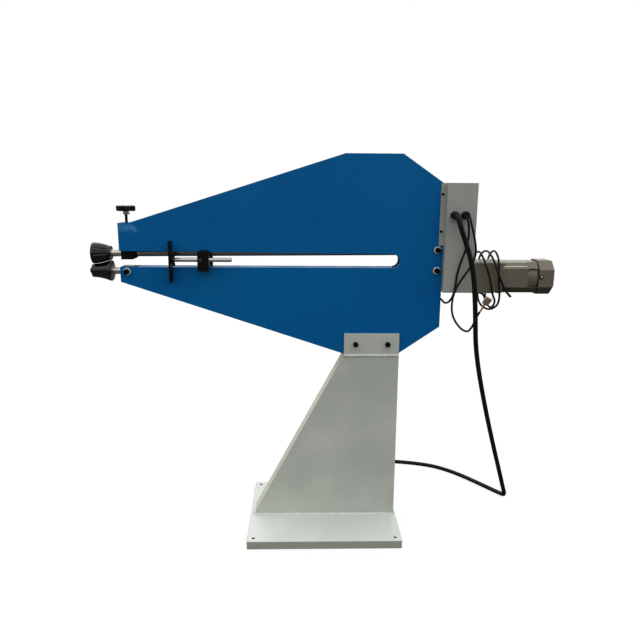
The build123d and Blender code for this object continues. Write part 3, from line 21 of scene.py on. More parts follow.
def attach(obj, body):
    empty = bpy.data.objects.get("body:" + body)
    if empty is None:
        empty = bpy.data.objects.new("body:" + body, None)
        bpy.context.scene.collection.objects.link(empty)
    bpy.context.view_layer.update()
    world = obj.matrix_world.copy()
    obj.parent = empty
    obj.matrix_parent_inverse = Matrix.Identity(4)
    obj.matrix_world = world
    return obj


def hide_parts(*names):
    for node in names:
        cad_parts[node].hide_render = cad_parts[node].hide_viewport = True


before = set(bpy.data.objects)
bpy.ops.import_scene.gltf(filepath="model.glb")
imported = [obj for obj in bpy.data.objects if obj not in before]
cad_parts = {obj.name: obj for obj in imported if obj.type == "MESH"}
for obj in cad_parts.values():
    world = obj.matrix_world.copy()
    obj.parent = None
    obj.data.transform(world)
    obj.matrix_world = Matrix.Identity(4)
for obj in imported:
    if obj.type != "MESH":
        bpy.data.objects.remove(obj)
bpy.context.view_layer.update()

MM = 0.001
FULL_TURN = 2 * math.pi
SAME_PLACE = 1e-6
ALIGNED = 0.9
SHARP_ANGLE = 30.0
FACET_ANGLE = 25.0
SOFT_ANGLE = 50.0
HEX_FACE = 0.48
HEX_SLOPE = 0.58
ORIGIN = Vector((0, 0, 0))
ALONG = Vector((1, 0, 0))
UP = Vector((0, 0, 1))
log = logging.getLogger("bead_roller")

Tone = tuple[int, int, int]
Point = tuple[float, float, float]
Corner = tuple[float, float]
Piece = bpy.types.Object
Socket = bpy.types.NodeSocket


class Toward(Enum):
    """The side of the machine that a fastener's head faces."""

    OPERATOR = (0.0, -1.0, 0.0)
    WALL = (0.0, 1.0, 0.0)
    MOTOR = (1.0, 0.0, 0.0)
    BEVEL = (0.0, -0.70711, 0.70711)

    @property
    def direction(self) -> Vector:
        """Return the side as a unit vector."""
        return Vector(self.value)


BOTH_SIDES = (Toward.OPERATOR, Toward.WALL)


def mm(x: float, y: float, z: float) -> Vector:
    """Return a point given in millimetres."""
    return Vector((x, y, z)) * MM


def linear(tone: Tone) -> tuple[float, float, float, float]:
    """Turn a tone in 0 to 255 screen values into a linear colour.

    Args:
        tone: Red, green and blue as a paint chart gives them.

    Returns:
        The colour for a shader's socket, with full alpha.
    """
    parts = [value / 255 for value in tone]
    curve = [part / 12.92 if part <= 0.04045 else ((part + 0.055) / 1.055) ** 2.4 for part in parts]
    return (curve[0], curve[1], curve[2], 1.0)


# Finishes


class NodeBoard:
    """Lays out the nodes of a finish, the floor or the sky."""

    edge_samples: int = 4
    edge_limits: Corner = (0.82, 0.995)

    def __init__(self, tree: bpy.types.NodeTree, coordinates: str = "Object") -> None:
        """Start with the coordinates that every pattern is placed by.

        Args:
            tree: The node tree.
            coordinates: Blender's name of the coordinates.
        """
        self.tree = tree
        self.place = self.add("ShaderNodeTexCoord").outputs[coordinates]

    def add(self, kind: str) -> bpy.types.Node:
        """Add a node of this kind."""
        return self.tree.nodes.new(kind)

    def join(self, source: Socket, target: Socket) -> None:
        """Link one socket to another."""
        self.tree.links.new(source, target)

    def feed(self, value: Socket | Tone | float, target: Socket) -> None:
        """Link a socket to another, or set a number or a tone on it.

        Args:
            value: The socket, the number or the tone.
            target: The socket that takes it.
        """
        if isinstance(value, (int, float)):
            target.default_value = value
        elif isinstance(value, tuple):
            target.default_value = linear(value)
        else:
            self.join(value, target)

    def axis(self, name: str) -> Socket:
        """Find the place along one axis.

        Args:
            name: X, Y or Z.

        Returns:
            The place in metres.
        """
        node = self.add("ShaderNodeSeparateXYZ")
        self.join(self.place, node.inputs["Vector"])
        return node.outputs[name]

    def noise(self, scale: float, detail: float = 3.0, stretch: Point = (1.0, 1.0, 1.0)) -> Socket:
        """Add a noise pattern.

        Args:
            scale: Pattern cells per metre.
            detail: How many finer layers the pattern has.
            stretch: The scale along each axis, for drawn or brushed metal.

        Returns:
            The pattern's value, about 0.3 to 0.7.
        """
        mapping = self.add("ShaderNodeMapping")
        mapping.inputs["Scale"].default_value = stretch
        self.join(self.place, mapping.inputs["Vector"])
        node = self.add("ShaderNodeTexNoise")
        node.inputs["Scale"].default_value = scale
        node.inputs["Detail"].default_value = detail
        self.join(mapping.outputs["Vector"], node.inputs["Vector"])
        return node.outputs[0]

    def span(self, source: Socket, low: float, high: float, start: float = 0.3, end: float = 0.7) -> Socket:
        """Spread a value over a new range.

        Args:
            source: The value to spread.
            low: The result at start.
            high: The result at end.
            start: The value that gives low.
            end: The value that gives high.

        Returns:
            The value in its new range.
        """
        node = self.add("ShaderNodeMapRange")
        for name, number in (("From Min", start), ("From Max", end), ("To Min", low), ("To Max", high)):
            node.inputs[name].default_value = number
        self.join(source, node.inputs["Value"])
        return node.outputs["Result"]

    def math(self, operation: str, first: Socket, second: Socket | float) -> Socket:
        """Combine two values.

        Args:
            operation: Blender's name of the operation.
            first: The first value.
            second: The second value, or a number.

        Returns:
            The result.
        """
        node = self.add("ShaderNodeMath")
        node.operation = operation
        self.join(first, node.inputs[0])
        self.feed(second, node.inputs[1])
        return node.outputs["Value"]

    def choose(self, share: Socket, first: Socket | float, second: Socket | float) -> Socket:
        """Mix two values.

        Args:
            share: How much of the second value counts.
            first: A value or a number.
            second: A value or a number.

        Returns:
            The mixed value.
        """
        node = self.add("ShaderNodeMix")
        self.join(share, node.inputs[0])
        self.feed(first, node.inputs[2])
        self.feed(second, node.inputs[3])
        return node.outputs[0]

    def blend(self, share: Socket, first: Socket | Tone, second: Socket | Tone) -> Socket:
        """Mix two colours.

        Args:
            share: How much of the second colour shows.
            first: A colour socket or a tone.
            second: A colour socket or a tone.

        Returns:
            The mixed colour.
        """
        node = self.add("ShaderNodeMix")
        node.data_type = "RGBA"
        self.join(share, node.inputs[0])
        self.feed(first, node.inputs[6])
        self.feed(second, node.inputs[7])
        return node.outputs[2]

    def by_ray(self, lit: Socket | float, mirrored: Socket, shown: float) -> Socket:
        """Give light, mirrors and the camera a strength of their own.

        Args:
            lit: The strength that lights the machine.
            mirrored: The strength that shiny pieces mirror.
            shown: The strength that the camera sees.

        Returns:
            The strength.
        """
        path = self.add("ShaderNodeLightPath")
        seen = self.math("MAXIMUM", path.outputs["Is Camera Ray"], path.outputs["Is Transmission Ray"])
        return self.choose(seen, self.choose(path.outputs["Is Glossy Ray"], lit, mirrored), shown)

    def rounded(self, radius: float) -> Socket:
        """Round the piece's sharp edges.

        Args:
            radius: The radius in metres.

        Returns:
            The rounded normal.
        """
        node = self.add("ShaderNodeBevel")
        node.samples = self.edge_samples
        node.inputs["Radius"].default_value = radius
        return node.outputs["Normal"]

    def edge_share(self, rounded: Socket) -> Socket:
        """Find the sharp edges.

        Args:
            rounded: The rounded normal.

        Returns:
            1 on sharp edges and 0 on flat faces.
        """
        flat = self.add("ShaderNodeNewGeometry").outputs["Normal"]
        node = self.add("ShaderNodeVectorMath")
        node.operation = "DOT_PRODUCT"
        self.join(rounded, node.inputs[0])
        self.join(flat, node.inputs[1])
        return self.span(node.outputs["Value"], 1.0, 0.0, *self.edge_limits)

    def bump(self, height: Socket, distance: float, normal: Socket) -> Socket:
        """Turn a height pattern into a normal.

        Args:
            height: The pattern.
            distance: The depth of the relief in metres.
            normal: The normal under the relief.

        Returns:
            The normal for the shader.
        """
        node = self.add("ShaderNodeBump")
        node.inputs["Distance"].default_value = distance
        self.join(height, node.inputs["Height"])
        self.join(normal, node.inputs["Normal"])
        return node.outputs["Normal"]


@dataclass(frozen=True)
class Finish:
    """A surface finish in metres: two tones in soft blotches, fine relief and worn edges; on the cabinet and
    the motor the edge tone is a painted highlight along the edges.
    """

    name: str
    tone: Tone
    second_tone: Tone
    edge_wear_and_highlight_tone: Tone
    roughness: float
    roughness_swing: float = 0.08
    metallic: float = 0.0
    specular: float = 0.5
    blotch_scale: float = 9.0
    haze_ratio: float = 4.0
    grain_scale: float = 900.0
    grain_depth: float = 0.00008
    stretch: Point = (1.0, 1.0, 1.0)
    speck_ratio: float = 0.6
    speck_share: float = 0.3
    speck_limits: Corner = (0.5, 0.75)
    edge_radius: float = 0.0006
    edge_wear_and_highlight: float = 0.35
    edge_breakup_scale: float = 260.0
    edge_breakup_limits: Corner = (0.45, 0.62)

    def material(self) -> bpy.types.Material:
        """Make the finish's material, once.

        Returns:
            The material.
        """
        known = bpy.data.materials.get(self.name)
        if known is not None:
            return known
        made = bpy.data.materials.new(self.name)
        made.use_nodes = True
        self.paint(NodeBoard(made.node_tree))
        return made

    def paint(self, board: NodeBoard) -> None:
        """Lay out the finish.

        Args:
            board: The material's nodes.
        """
        shader = board.tree.nodes["Principled BSDF"]
        shader.inputs["Metallic"].default_value = self.metallic
        shader.inputs["Specular IOR Level"].default_value = self.specular
        rounded = board.rounded(self.edge_radius)
        colour = self.colour(board)
        # Edges take the edge tone: worn edges on most finishes, painted highlight lines on the cabinet and
        # the motor.
        edge_breakup = board.span(board.noise(self.edge_breakup_scale, detail=4.0), 0.0, self.edge_wear_and_highlight, *self.edge_breakup_limits)
        worn_and_highlit_edges = board.math("MULTIPLY", board.edge_share(rounded), edge_breakup)
        board.join(board.blend(worn_and_highlit_edges, colour, self.edge_wear_and_highlight_tone), shader.inputs["Base Color"])
        haze = board.noise(self.blotch_scale * self.haze_ratio, detail=5.0, stretch=self.stretch)
        low, high = self.roughness - self.roughness_swing, self.roughness + self.roughness_swing
        board.join(board.span(haze, low, high), shader.inputs["Roughness"])
        grain = board.noise(self.grain_scale, detail=2.0, stretch=self.stretch)
        board.join(board.bump(grain, self.grain_depth, rounded), shader.inputs["Normal"])

    def colour(self, board: NodeBoard) -> Socket:
        """Return the colour of the unworn surface: soft blotches and fine specks.

        Args:
            board: The material's nodes.

        Returns:
            The colour.
        """
        blotches = board.span(board.noise(self.blotch_scale, stretch=self.stretch), 0.0, 1.0)
        colour = board.blend(blotches, self.tone, self.second_tone)
        grains = board.noise(self.grain_scale * self.speck_ratio, detail=2.0, stretch=self.stretch)
        specks = board.span(grains, 0.0, self.speck_share, *self.speck_limits)
        return board.blend(specks, colour, self.second_tone)


@dataclass(frozen=True)
class ScuffAndSheen:
    """A patch of another tone (rub marks on the base, a painted reflection on the frame): the box that holds
    it and how steeply it climbs along X.
    """

    low: Point
    high: Point
    slope: float = 0.0


@dataclass(frozen=True)
class ScuffedAndSheenedFinish(Finish):
    """A paint with patches of another tone: real rub marks on the base, a painted reflection on the frame's
    jaw.
    """

    scuff_and_sheen_tone: Tone = (40, 92, 140)
    scuffs_and_sheens: tuple[ScuffAndSheen, ...] = ()
    scuff_and_sheen_scale: float = 36.0
    scuff_and_sheen_limits: Corner = (0.6, 0.64)
    scuff_and_sheen_core: float = 0.7

    def colour(self, board: NodeBoard) -> Socket:
        """Return the paint with its rub marks and painted reflections.

        Args:
            board: The material's nodes.

        Returns:
            The colour.
        """
        colour = super().colour(board)
        pattern = board.span(board.noise(self.scuff_and_sheen_scale), 0.0, 1.0, *self.scuff_and_sheen_limits)
        for patch in self.scuffs_and_sheens:
            patch_share = pattern
            for name, low, high in zip("XYZ", patch.low, patch.high):
                half = (high - low) / 2
                place = board.math("SUBTRACT", board.axis(name), low + half)
                if name == "Z":
                    climb = board.math("SUBTRACT", board.axis("X"), (patch.low[0] + patch.high[0]) / 2)
                    place = board.math("SUBTRACT", place, board.math("MULTIPLY", climb, patch.slope))
                away = board.math("ABSOLUTE", place, 0.0)
                inside = board.span(away, 1.0, 0.0, half * self.scuff_and_sheen_core, half)
                patch_share = board.math("MULTIPLY", patch_share, inside)
            colour = board.blend(patch_share, colour, self.scuff_and_sheen_tone)
        return colour


@dataclass(frozen=True)
class PaintedShadeBelowFinish(ScuffedAndSheenedFinish):
    """A finish with painted shade below one height."""

    below_shade_tone: Tone = (150, 153, 144)
    below_shade_height: float = 0.0
    below_shade_fade: Corner = (0.0012, 0.0004)
    below_shade_share: float = 0.85

    def colour(self, board: NodeBoard) -> Socket:
        """Return the colour, with painted shade below its height.

        Args:
            board: The material's nodes.

        Returns:
            The colour.
        """
        low, high = (self.below_shade_height - fade for fade in self.below_shade_fade)
        below_shade = board.span(board.axis("Z"), self.below_shade_share, 0.0, low, high)
        return board.blend(below_shade, super().colour(board), self.below_shade_tone)


@dataclass(frozen=True)
class ShadedShaftFinish(Finish):
    """Ground steel whose length inside the frame is darkened brown: painted shade where the plates shadow
    it.
    """

    shaft_shade_tone: Tone = (138, 126, 112)
    shaft_shade_limits: Corner = (-0.655, -0.6)
    shaft_shade_share: float = 0.9

    def colour(self, board: NodeBoard) -> Socket:
        """Return the ground colour with its painted shade.

        Args:
            board: The material's nodes.

        Returns:
            The colour.
        """
        shaft_shade = board.span(board.axis("X"), 0.0, self.shaft_shade_share, *self.shaft_shade_limits)
        return board.blend(shaft_shade, super().colour(board), self.shaft_shade_tone)


# The lighter blue patches on the upper jaw's front are a painted reflection.
FRAME_BLUE = ScuffedAndSheenedFinish(
    "frame_blue_paint", (0, 94, 149), (0, 84, 144), (60, 114, 152), 0.42, specular=0.08,
    blotch_scale=3.2, grain_scale=700.0, grain_depth=0.00005, edge_radius=0.0008,
    scuff_and_sheen_tone=(62, 122, 178), scuff_and_sheen_scale=38.0, scuff_and_sheen_limits=(0.36, 0.56), scuff_and_sheen_core=0.25,
    scuffs_and_sheens=(
        ScuffAndSheen((-0.676, -0.0285, 1.024), (-0.618, -0.0255, 1.056)),
        ScuffAndSheen((-0.634, -0.0285, 1.022), (-0.602, -0.0255, 1.050), -0.5),
    ),
)
PEDESTAL_GREY = Finish(
    "pedestal_grey_paint", (188, 192, 182), (162, 168, 160), (205, 206, 196), 0.45, specular=0.3,
    blotch_scale=4.6, grain_scale=520.0, grain_depth=0.00012, edge_radius=0.0012,
)
# The slope wall wears the pedestal's paint made lighter and warmer: painted light where it faces up towards
# the sky.
SLOPE_LIT_CREAM = Finish(
    "pedestal_slope_painted_light", (212, 209, 190), (198, 196, 180), (224, 221, 206), 0.42, specular=0.3,
    blotch_scale=6.0, grain_scale=520.0, grain_depth=0.00012, edge_radius=0.0012,
)
# The base plate's paint is lighter than the pedestal's for a painted top light, and its darker tone below
# the top face is painted shade on the sides; the blue rub marks are real wear.
BASE_LIT_AND_SHADED_GREY = PaintedShadeBelowFinish(
    "base_grey_paint", (198, 203, 197), (186, 193, 187), (212, 213, 205), 0.36, specular=0.45,
    blotch_scale=5.0, grain_scale=520.0, grain_depth=0.00012, edge_radius=0.0014,
    scuff_and_sheen_tone=(28, 60, 78), scuff_and_sheen_scale=90.0, scuff_and_sheen_limits=(0.3, 0.46),
    scuffs_and_sheens=(
        ScuffAndSheen((-0.247, -0.209, 0.0054), (-0.209, -0.206, 0.0098), 0.29),
        ScuffAndSheen((-0.2585, -0.209, 0.0225), (-0.2475, -0.206, 0.0275), -0.5),
    ),
    below_shade_tone=(146, 148, 137), below_shade_height=0.028,
)
# The weld beads wear the pedestal's grey made lighter: painted light on their sky-lit tops.
WELD_LIT_GREY = Finish(
    "weld_grey_painted_light", (206, 209, 200), (186, 190, 181), (220, 221, 212), 0.34,
    blotch_scale=60.0, grain_depth=0.0002,
)
# The cabinet's pale edge tone and large edge share paint highlight lines along its folds and edges.
CABINET_GREY = Finish(
    "cabinet_grey_paint", (156, 158, 152), (144, 147, 141), (196, 196, 184), 0.5, specular=0.3,
    blotch_scale=6.0, grain_scale=1100.0, grain_depth=0.0001, edge_radius=0.0024, edge_wear_and_highlight=0.7,
)
GEARBOX_GREY = Finish(
    "gearbox_cast_grey", (106, 100, 87), (96, 91, 79), (176, 172, 162), 0.38, metallic=0.15,
    blotch_scale=12.0, grain_scale=800.0, grain_depth=0.00004, edge_radius=0.0018,
)
# The motor's dark olive tone below the front face is painted shade with a painted reflection of green
# ground; its pale edge tone paints highlights on the edges.
MOTOR_GREY = PaintedShadeBelowFinish(
    "motor_cast_grey", (106, 99, 86), (96, 90, 78), (196, 192, 182), 0.36, metallic=0.15,
    blotch_scale=12.0, grain_scale=800.0, grain_depth=0.00004, edge_radius=0.0022, edge_wear_and_highlight=0.6,
    below_shade_tone=(47, 49, 27), below_shade_height=0.8535, below_shade_share=0.9,
)
# The ribs' pale tone is a painted highlight on the motor's own cast grey.
RIB_HIGHLIGHT_GREY = Finish(
    "motor_rib_painted_highlight", (202, 200, 194), (184, 182, 176), (222, 220, 214), 0.3, metallic=0.5,
    blotch_scale=40.0, grain_depth=0.00002, edge_radius=0.0004,
)
BLACK_OXIDE = Finish(
    "black_oxide_steel", (14, 14, 14), (9, 9, 9), (70, 68, 64), 0.4, specular=0.14,
    blotch_scale=30.0, grain_scale=1200.0, grain_depth=0.00004, edge_radius=0.0007,
)
WORN_OXIDE = Finish(
    "worn_black_oxide", (52, 50, 47), (34, 33, 31), (120, 117, 110), 0.34, specular=0.4,
    blotch_scale=90.0, grain_scale=1200.0, grain_depth=0.00004, edge_wear_and_highlight=0.7,
)
DIE_BLACK = Finish(
    "hardened_die_black", (7, 7, 6), (4, 4, 4), (96, 90, 80), 0.15, roughness_swing=0.04,
    blotch_scale=40.0, grain_scale=1500.0, grain_depth=0.00002, stretch=(6.0, 1.0, 1.0),
)
GROUND_STEEL = Finish(
    "ground_steel", (206, 203, 198), (192, 188, 181), (226, 224, 218), 0.24,
    roughness_swing=0.04, metallic=1.0, blotch_scale=20.0, grain_depth=0.000003,
    stretch=(3.0, 1.0, 1.0), edge_radius=0.0005,
)
# The darker brown length inside the frame is painted shade between the plates.
SHAFT_STEEL = ShadedShaftFinish(
    "ground_shaft_steel", (206, 203, 198), (190, 184, 176), (226, 224, 218), 0.27,
    roughness_swing=0.04, metallic=1.0, blotch_scale=14.0, grain_depth=0.000003,
    stretch=(3.0, 1.0, 1.0), edge_radius=0.0005,
)
ZINC_STEEL = Finish(
    "zinc_plated_steel", (206, 205, 200), (180, 179, 174), (225, 224, 220), 0.28, metallic=1.0,
    blotch_scale=60.0, grain_scale=1400.0, grain_depth=0.00002, edge_radius=0.0004,
)
# The washers' near-white, barely metallic tone is a painted reflection of their bright zinc shine.
WASHER_SHINE_WHITE = Finish(
    "washer_zinc_painted_reflection", (222, 221, 215), (206, 205, 198), (236, 235, 230), 0.32, metallic=0.15,
    blotch_scale=80.0, grain_scale=1400.0, grain_depth=0.00002, edge_radius=0.0004,
)
BUSH_BRONZE = Finish(
    "machined_bronze", (150, 118, 62), (128, 98, 50), (190, 158, 96), 0.34, metallic=1.0,
    blotch_scale=40.0, grain_scale=1200.0, grain_depth=0.00003,
)
KNOB_BLACK = Finish(
    "moulded_knob_black", (10, 10, 10), (7, 7, 7), (50, 50, 50), 0.22, specular=0.45,
    blotch_scale=40.0, grain_scale=1500.0, grain_depth=0.00004, edge_radius=0.0009,
)
BLACK_PLASTIC = Finish(
    "matt_black_plastic", (14, 14, 14), (9, 9, 9), (50, 50, 50), 0.5, specular=0.12,
    blotch_scale=50.0, grain_scale=1600.0, grain_depth=0.00006,
)
CABLE_RUBBER = Finish(
    "cable_sheath_rubber", (14, 14, 15), (9, 9, 10), (40, 40, 40), 0.5, specular=0.2,
    blotch_scale=30.0, grain_scale=1300.0, grain_depth=0.0001, edge_wear_and_highlight=0.1,
)
CONNECTOR_CREAM = Finish(
    "cream_nylon", (226, 212, 194), (206, 190, 170), (236, 228, 214), 0.42, specular=0.45,
    blotch_scale=90.0, grain_scale=2000.0, grain_depth=0.00003, edge_radius=0.0005,
)
# The connector's dark shells are painted shade on the cream nylon.
CONNECTOR_SHADED_CREAM = Finish(
    "cream_nylon_painted_shade", (116, 104, 87), (86, 76, 62), (164, 152, 134), 0.4, specular=0.45,
    blotch_scale=160.0, grain_scale=2000.0, grain_depth=0.00004, edge_radius=0.0005,
)
WIRE_RED = Finish(
    "wire_red", (150, 44, 20), (118, 30, 14), (190, 90, 60), 0.42,
    blotch_scale=120.0, grain_scale=2500.0, grain_depth=0.00003,
)
WIRE_TAN = Finish(
    "wire_tan", (204, 152, 104), (178, 124, 80), (226, 196, 160), 0.42,
    blotch_scale=120.0, grain_scale=2500.0, grain_depth=0.00003,
)


# Modelling by hand


def deselect() -> None:
    """Leave edit mode and select nothing."""
    if bpy.context.mode != "OBJECT":
        bpy.ops.object.mode_set(mode="OBJECT")
    bpy.ops.object.select_all(action="DESELECT")


def activate(piece: Piece) -> None:
    """Select one piece alone.

    Args:
        piece: The piece.
    """
    deselect()
    piece.select_set(True)
    bpy.context.view_layer.objects.active = piece


def settle(name: str) -> Piece:
    """Name the new primitive and put its place into its mesh.

    Args:
        name: The piece's name.

    Returns:
        The piece, with its object at the origin.
    """
    piece = bpy.context.active_object
    piece.name = name
    piece.data.name = name
    bpy.ops.object.transform_apply(location=True, rotation=True, scale=True)
    return piece


@contextmanager
def editing(piece: Piece, mode: str = "FACE") -> Iterator[None]:
    """Hold a piece in edit mode with nothing selected.

    Args:
        piece: The piece to edit.
        mode: What is selected: VERT, EDGE or FACE.
    """
    activate(piece)
    bpy.ops.object.mode_set(mode="EDIT")
    bpy.ops.mesh.select_mode(type=mode)
    bpy.ops.mesh.select_all(action="DESELECT")
    yield
    bpy.ops.object.mode_set(mode="OBJECT")


def pick_faces(piece: Piece, test: Callable[[Vector, Vector], bool]) -> None:
    """Select the faces whose normal and middle pass a test.

    Args:
        piece: The piece in edit mode.
        test: Takes the normal and the middle.
    """
    mesh = bmesh.from_edit_mesh(piece.data)
    for face in mesh.faces:
        face.select_set(test(face.normal, face.calc_center_median()))
    mesh.select_flush_mode()
    bmesh.update_edit_mesh(piece.data)


def pick_edges(piece: Piece, test: Callable[[Vector, Vector], bool]) -> None:
    """Select the edges whose two ends pass a test.

    Args:
        piece: The piece in edit mode.
        test: Takes the two ends.
    """
    mesh = bmesh.from_edit_mesh(piece.data)
    for edge in mesh.edges:
        edge.select_set(test(edge.verts[0].co, edge.verts[1].co))
    mesh.select_flush_mode()
    bmesh.update_edit_mesh(piece.data)


def extrude(shift: Vector) -> None:
    """Extrude what is selected in edit mode."""
    bpy.ops.mesh.extrude_region_move(TRANSFORM_OT_translate={"value": shift})


def close_seams() -> None:
    """Merge the doubled corners of the piece in edit mode and turn its faces outward."""
    bpy.ops.mesh.select_all(action="SELECT")
    bpy.ops.mesh.remove_doubles(threshold=SAME_PLACE)
    bpy.ops.mesh.normals_make_consistent(inside=False)


def rod(name: str, start: Vector, end: Vector, radius: float, sides: int = 40) -> Piece:
    """Add a round or many-sided bar between two points.

    Args:
        name: The piece's name.
        start: The middle of one end.
        end: The middle of the other end.
        radius: The radius to the corners.
        sides: How many sides it has.

    Returns:
        The bar.
    """
    deselect()
    run = end - start
    bpy.ops.mesh.primitive_cylinder_add(
        vertices=sides, radius=radius * MM, depth=run.length, location=(start + end) / 2,
        rotation=run.to_track_quat("Z", "Y").to_euler(),
    )
    return settle(name)


def block(name: str, low: Vector, high: Vector) -> Piece:
    """Add a square block.

    Args:
        name: The piece's name.
        low: The corner with the least of each coordinate.
        high: The corner opposite.

    Returns:
        The block.
    """
    deselect()
    bpy.ops.mesh.primitive_cube_add(size=1.0, location=(low + high) / 2, scale=high - low)
    return settle(name)


def chain(name: str, spots: Sequence[Vector]) -> Piece:
    """Draw a line of edges through points, to be turned, wound or widened.

    Args:
        name: The piece's name.
        spots: The points in order.

    Returns:
        The line.
    """
    deselect()
    bpy.ops.mesh.primitive_plane_add(size=MM, location=spots[0])
    piece = settle(name)
    with editing(piece, "VERT"):
        bpy.ops.mesh.select_all(action="SELECT")
        bpy.ops.mesh.merge(type="CENTER")
        for here, there in zip(spots, spots[1:]):
            extrude(there - here)
    return piece


def lathe(name: str, origin: Vector, axis: Vector, outline: Sequence[Corner], steps: int = 64) -> Piece:
    """Turn an outline about an axis.

    Args:
        name: The piece's name.
        origin: The point of the axis where the outline's stations start.
        axis: The direction of the axis.
        outline: Station and radius of each corner.
        steps: How many steps the turn has.

    Returns:
        The turned piece.
    """
    along = axis.normalized()
    side = along.orthogonal().normalized()
    spots = [origin + along * (station * MM) + side * (radius * MM) for station, radius in outline]
    piece = chain(name, spots)
    with editing(piece, "VERT"):
        bpy.ops.mesh.select_all(action="SELECT")
        bpy.ops.mesh.spin(steps=steps, angle=FULL_TURN, center=origin, axis=along)
        close_seams()
    return piece


def apply_modifiers(piece: Piece) -> None:
    """Apply every modifier of a piece in order.

    Args:
        piece: The piece.
    """
    activate(piece)
    for modifier in list(piece.modifiers):
        bpy.ops.object.modifier_apply(modifier=modifier.name)


def soften(piece: Piece, width: float, segments: int = 2) -> Piece:
    """Round the sharp edges of a piece.

    Args:
        piece: The piece.
        width: The width of the rounding.
        segments: How many faces it has.

    Returns:
        The piece.
    """
    modifier = piece.modifiers.new("rounding", "BEVEL")
    modifier.width = width * MM
    modifier.segments = segments
    modifier.limit_method = "ANGLE"
    modifier.angle_limit = math.radians(SHARP_ANGLE)
    apply_modifiers(piece)
    return piece


def soft_block(name: str, low: Point, high: Point, width: float, segments: int = 2) -> Piece:
    """Model a block with rounded edges between two corners given in millimetres."""
    return soften(block(name, mm(*low), mm(*high)), width, segments)


def discard(piece: Piece) -> None:
    """Remove a piece that was only modelled to be copied or to cut.

    Args:
        piece: The piece.
    """
    mesh = piece.data
    bpy.data.objects.remove(piece)
    bpy.data.meshes.remove(mesh)


def combine(piece: Piece, tool: Piece, operation: str = "DIFFERENCE") -> Piece:
    """Cut a piece with a tool, or keep what they share, and remove the tool.

    Args:
        piece: The piece that stays.
        tool: The piece that cuts.
        operation: DIFFERENCE or INTERSECT.

    Returns:
        The piece.
    """
    modifier = piece.modifiers.new("cut", "BOOLEAN")
    modifier.object = tool
    modifier.operation = operation
    modifier.solver = "EXACT"
    apply_modifiers(piece)
    discard(tool)
    return piece


def unite(name: str, pieces: Sequence[Piece]) -> Piece:
    """Join pieces into one.

    Args:
        name: The name of the whole.
        pieces: The pieces to join.

    Returns:
        The whole.
    """
    activate(pieces[0])
    for piece in pieces:
        piece.select_set(True)
    bpy.ops.object.join()
    pieces[0].name = name
    pieces[0].data.name = name
    return pieces[0]


def smooth(piece: Piece, angle: float = 35.0) -> Piece:
    """Shade a piece smooth.

    Args:
        piece: The piece.
        angle: The largest angle in degrees that is smoothed over.

    Returns:
        The piece.
    """
    activate(piece)
    bpy.ops.object.shade_smooth_by_angle(angle=math.radians(angle))
    return piece


def copy_to(piece: Piece, name: str, matrix: Matrix) -> Piece:
    """Copy a piece with its own mesh and move the copy's mesh.

    Args:
        piece: The piece to copy.
        name: The copy's name.
        matrix: Where the copy goes.

    Returns:
        The copy.
    """
    twin = piece.copy()
    twin.data = piece.data.copy()
    twin.name = name
    twin.data.name = name
    twin.data.transform(matrix)
    bpy.context.scene.collection.objects.link(twin)
    return twin


def facing(place: Vector, side: Toward, turn: float = 0.0) -> Matrix:
    """Return the matrix that stands a piece modelled along +Z on a face.

    Args:
        place: Where its origin goes.
        side: Where its +Z points.
        turn: Its turn about its own axis, in degrees.

    Returns:
        The matrix.
    """
    tilt = side.direction.to_track_quat("Z", "Y").to_matrix().to_4x4()
    return Matrix.Translation(place) @ tilt @ Matrix.Rotation(math.radians(turn), 4, "Z")


def fit(piece: Piece, body: str, slot: str, finish: Finish, *replaced: str) -> Piece:
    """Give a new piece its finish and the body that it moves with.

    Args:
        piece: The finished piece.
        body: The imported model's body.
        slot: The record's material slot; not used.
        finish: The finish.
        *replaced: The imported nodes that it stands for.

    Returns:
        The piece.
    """
    piece.data.materials.clear()
    piece.data.materials.append(finish.material())
    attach(piece, body)
    if replaced:
        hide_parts(*replaced)
    log.info("%s rides on %s", piece.name, body)
    return piece


def dress(finish: Finish, *nodes: str) -> None:
    """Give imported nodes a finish.

    Args:
        finish: The finish.
        *nodes: The nodes' names.
    """
    for node in nodes:
        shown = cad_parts[node]
        if not shown.material_slots:
            shown.data.materials.append(finish.material())
        for place in shown.material_slots:
            place.material = finish.material()
        log.info("%s dressed in %s", node, finish.name)


def draw_curve(name: str, kind: str, points: Sequence[Vector], radius: float, rings: int) -> Piece:
    """Draw a round, closed-ended curve through points.

    Args:
        name: The curve's name.
        kind: NURBS for a smooth route or POLY for a straight-sided one.
        points: The points of its route.
        radius: Its radius.
        rings: Blender's measure of how finely it is rounded.

    Returns:
        The curve's object.
    """
    curve = bpy.data.curves.new(name, "CURVE")
    curve.dimensions = "3D"
    spline = curve.splines.new(kind)
    spline.points.add(len(points) - 1)
    for spot, point in zip(spline.points, points):
        spot.co = (*point, 1.0)
    curve.bevel_depth = radius * MM
    curve.bevel_resolution = rings
    curve.use_fill_caps = True
    drawn = bpy.data.objects.new(name, curve)
    bpy.context.scene.collection.objects.link(drawn)
    return drawn


def hex_bar(name: str, start: Vector, end: Vector, flats: float) -> Piece:
    """Model a hexagon bar with chamfered corners at both ends.

    Args:
        name: The bar's name.
        start: The middle of one face.
        end: The middle of the other face.
        flats: The width across flats.

    Returns:
        The bar.
    """
    run = end - start
    height = run.length / MM
    corner = flats / math.sqrt(3)
    face = flats * HEX_FACE
    slope = (corner - face) * HEX_SLOPE
    bar = rod(name, start, end, corner, 6)
    outline = [(0, 0), (0, face), (slope, corner), (height - slope, corner), (height, face), (height, 0)]
    return smooth(combine(bar, lathe("hexagon_barrel", start, run, outline, 48), "INTERSECT"), FACET_ANGLE)


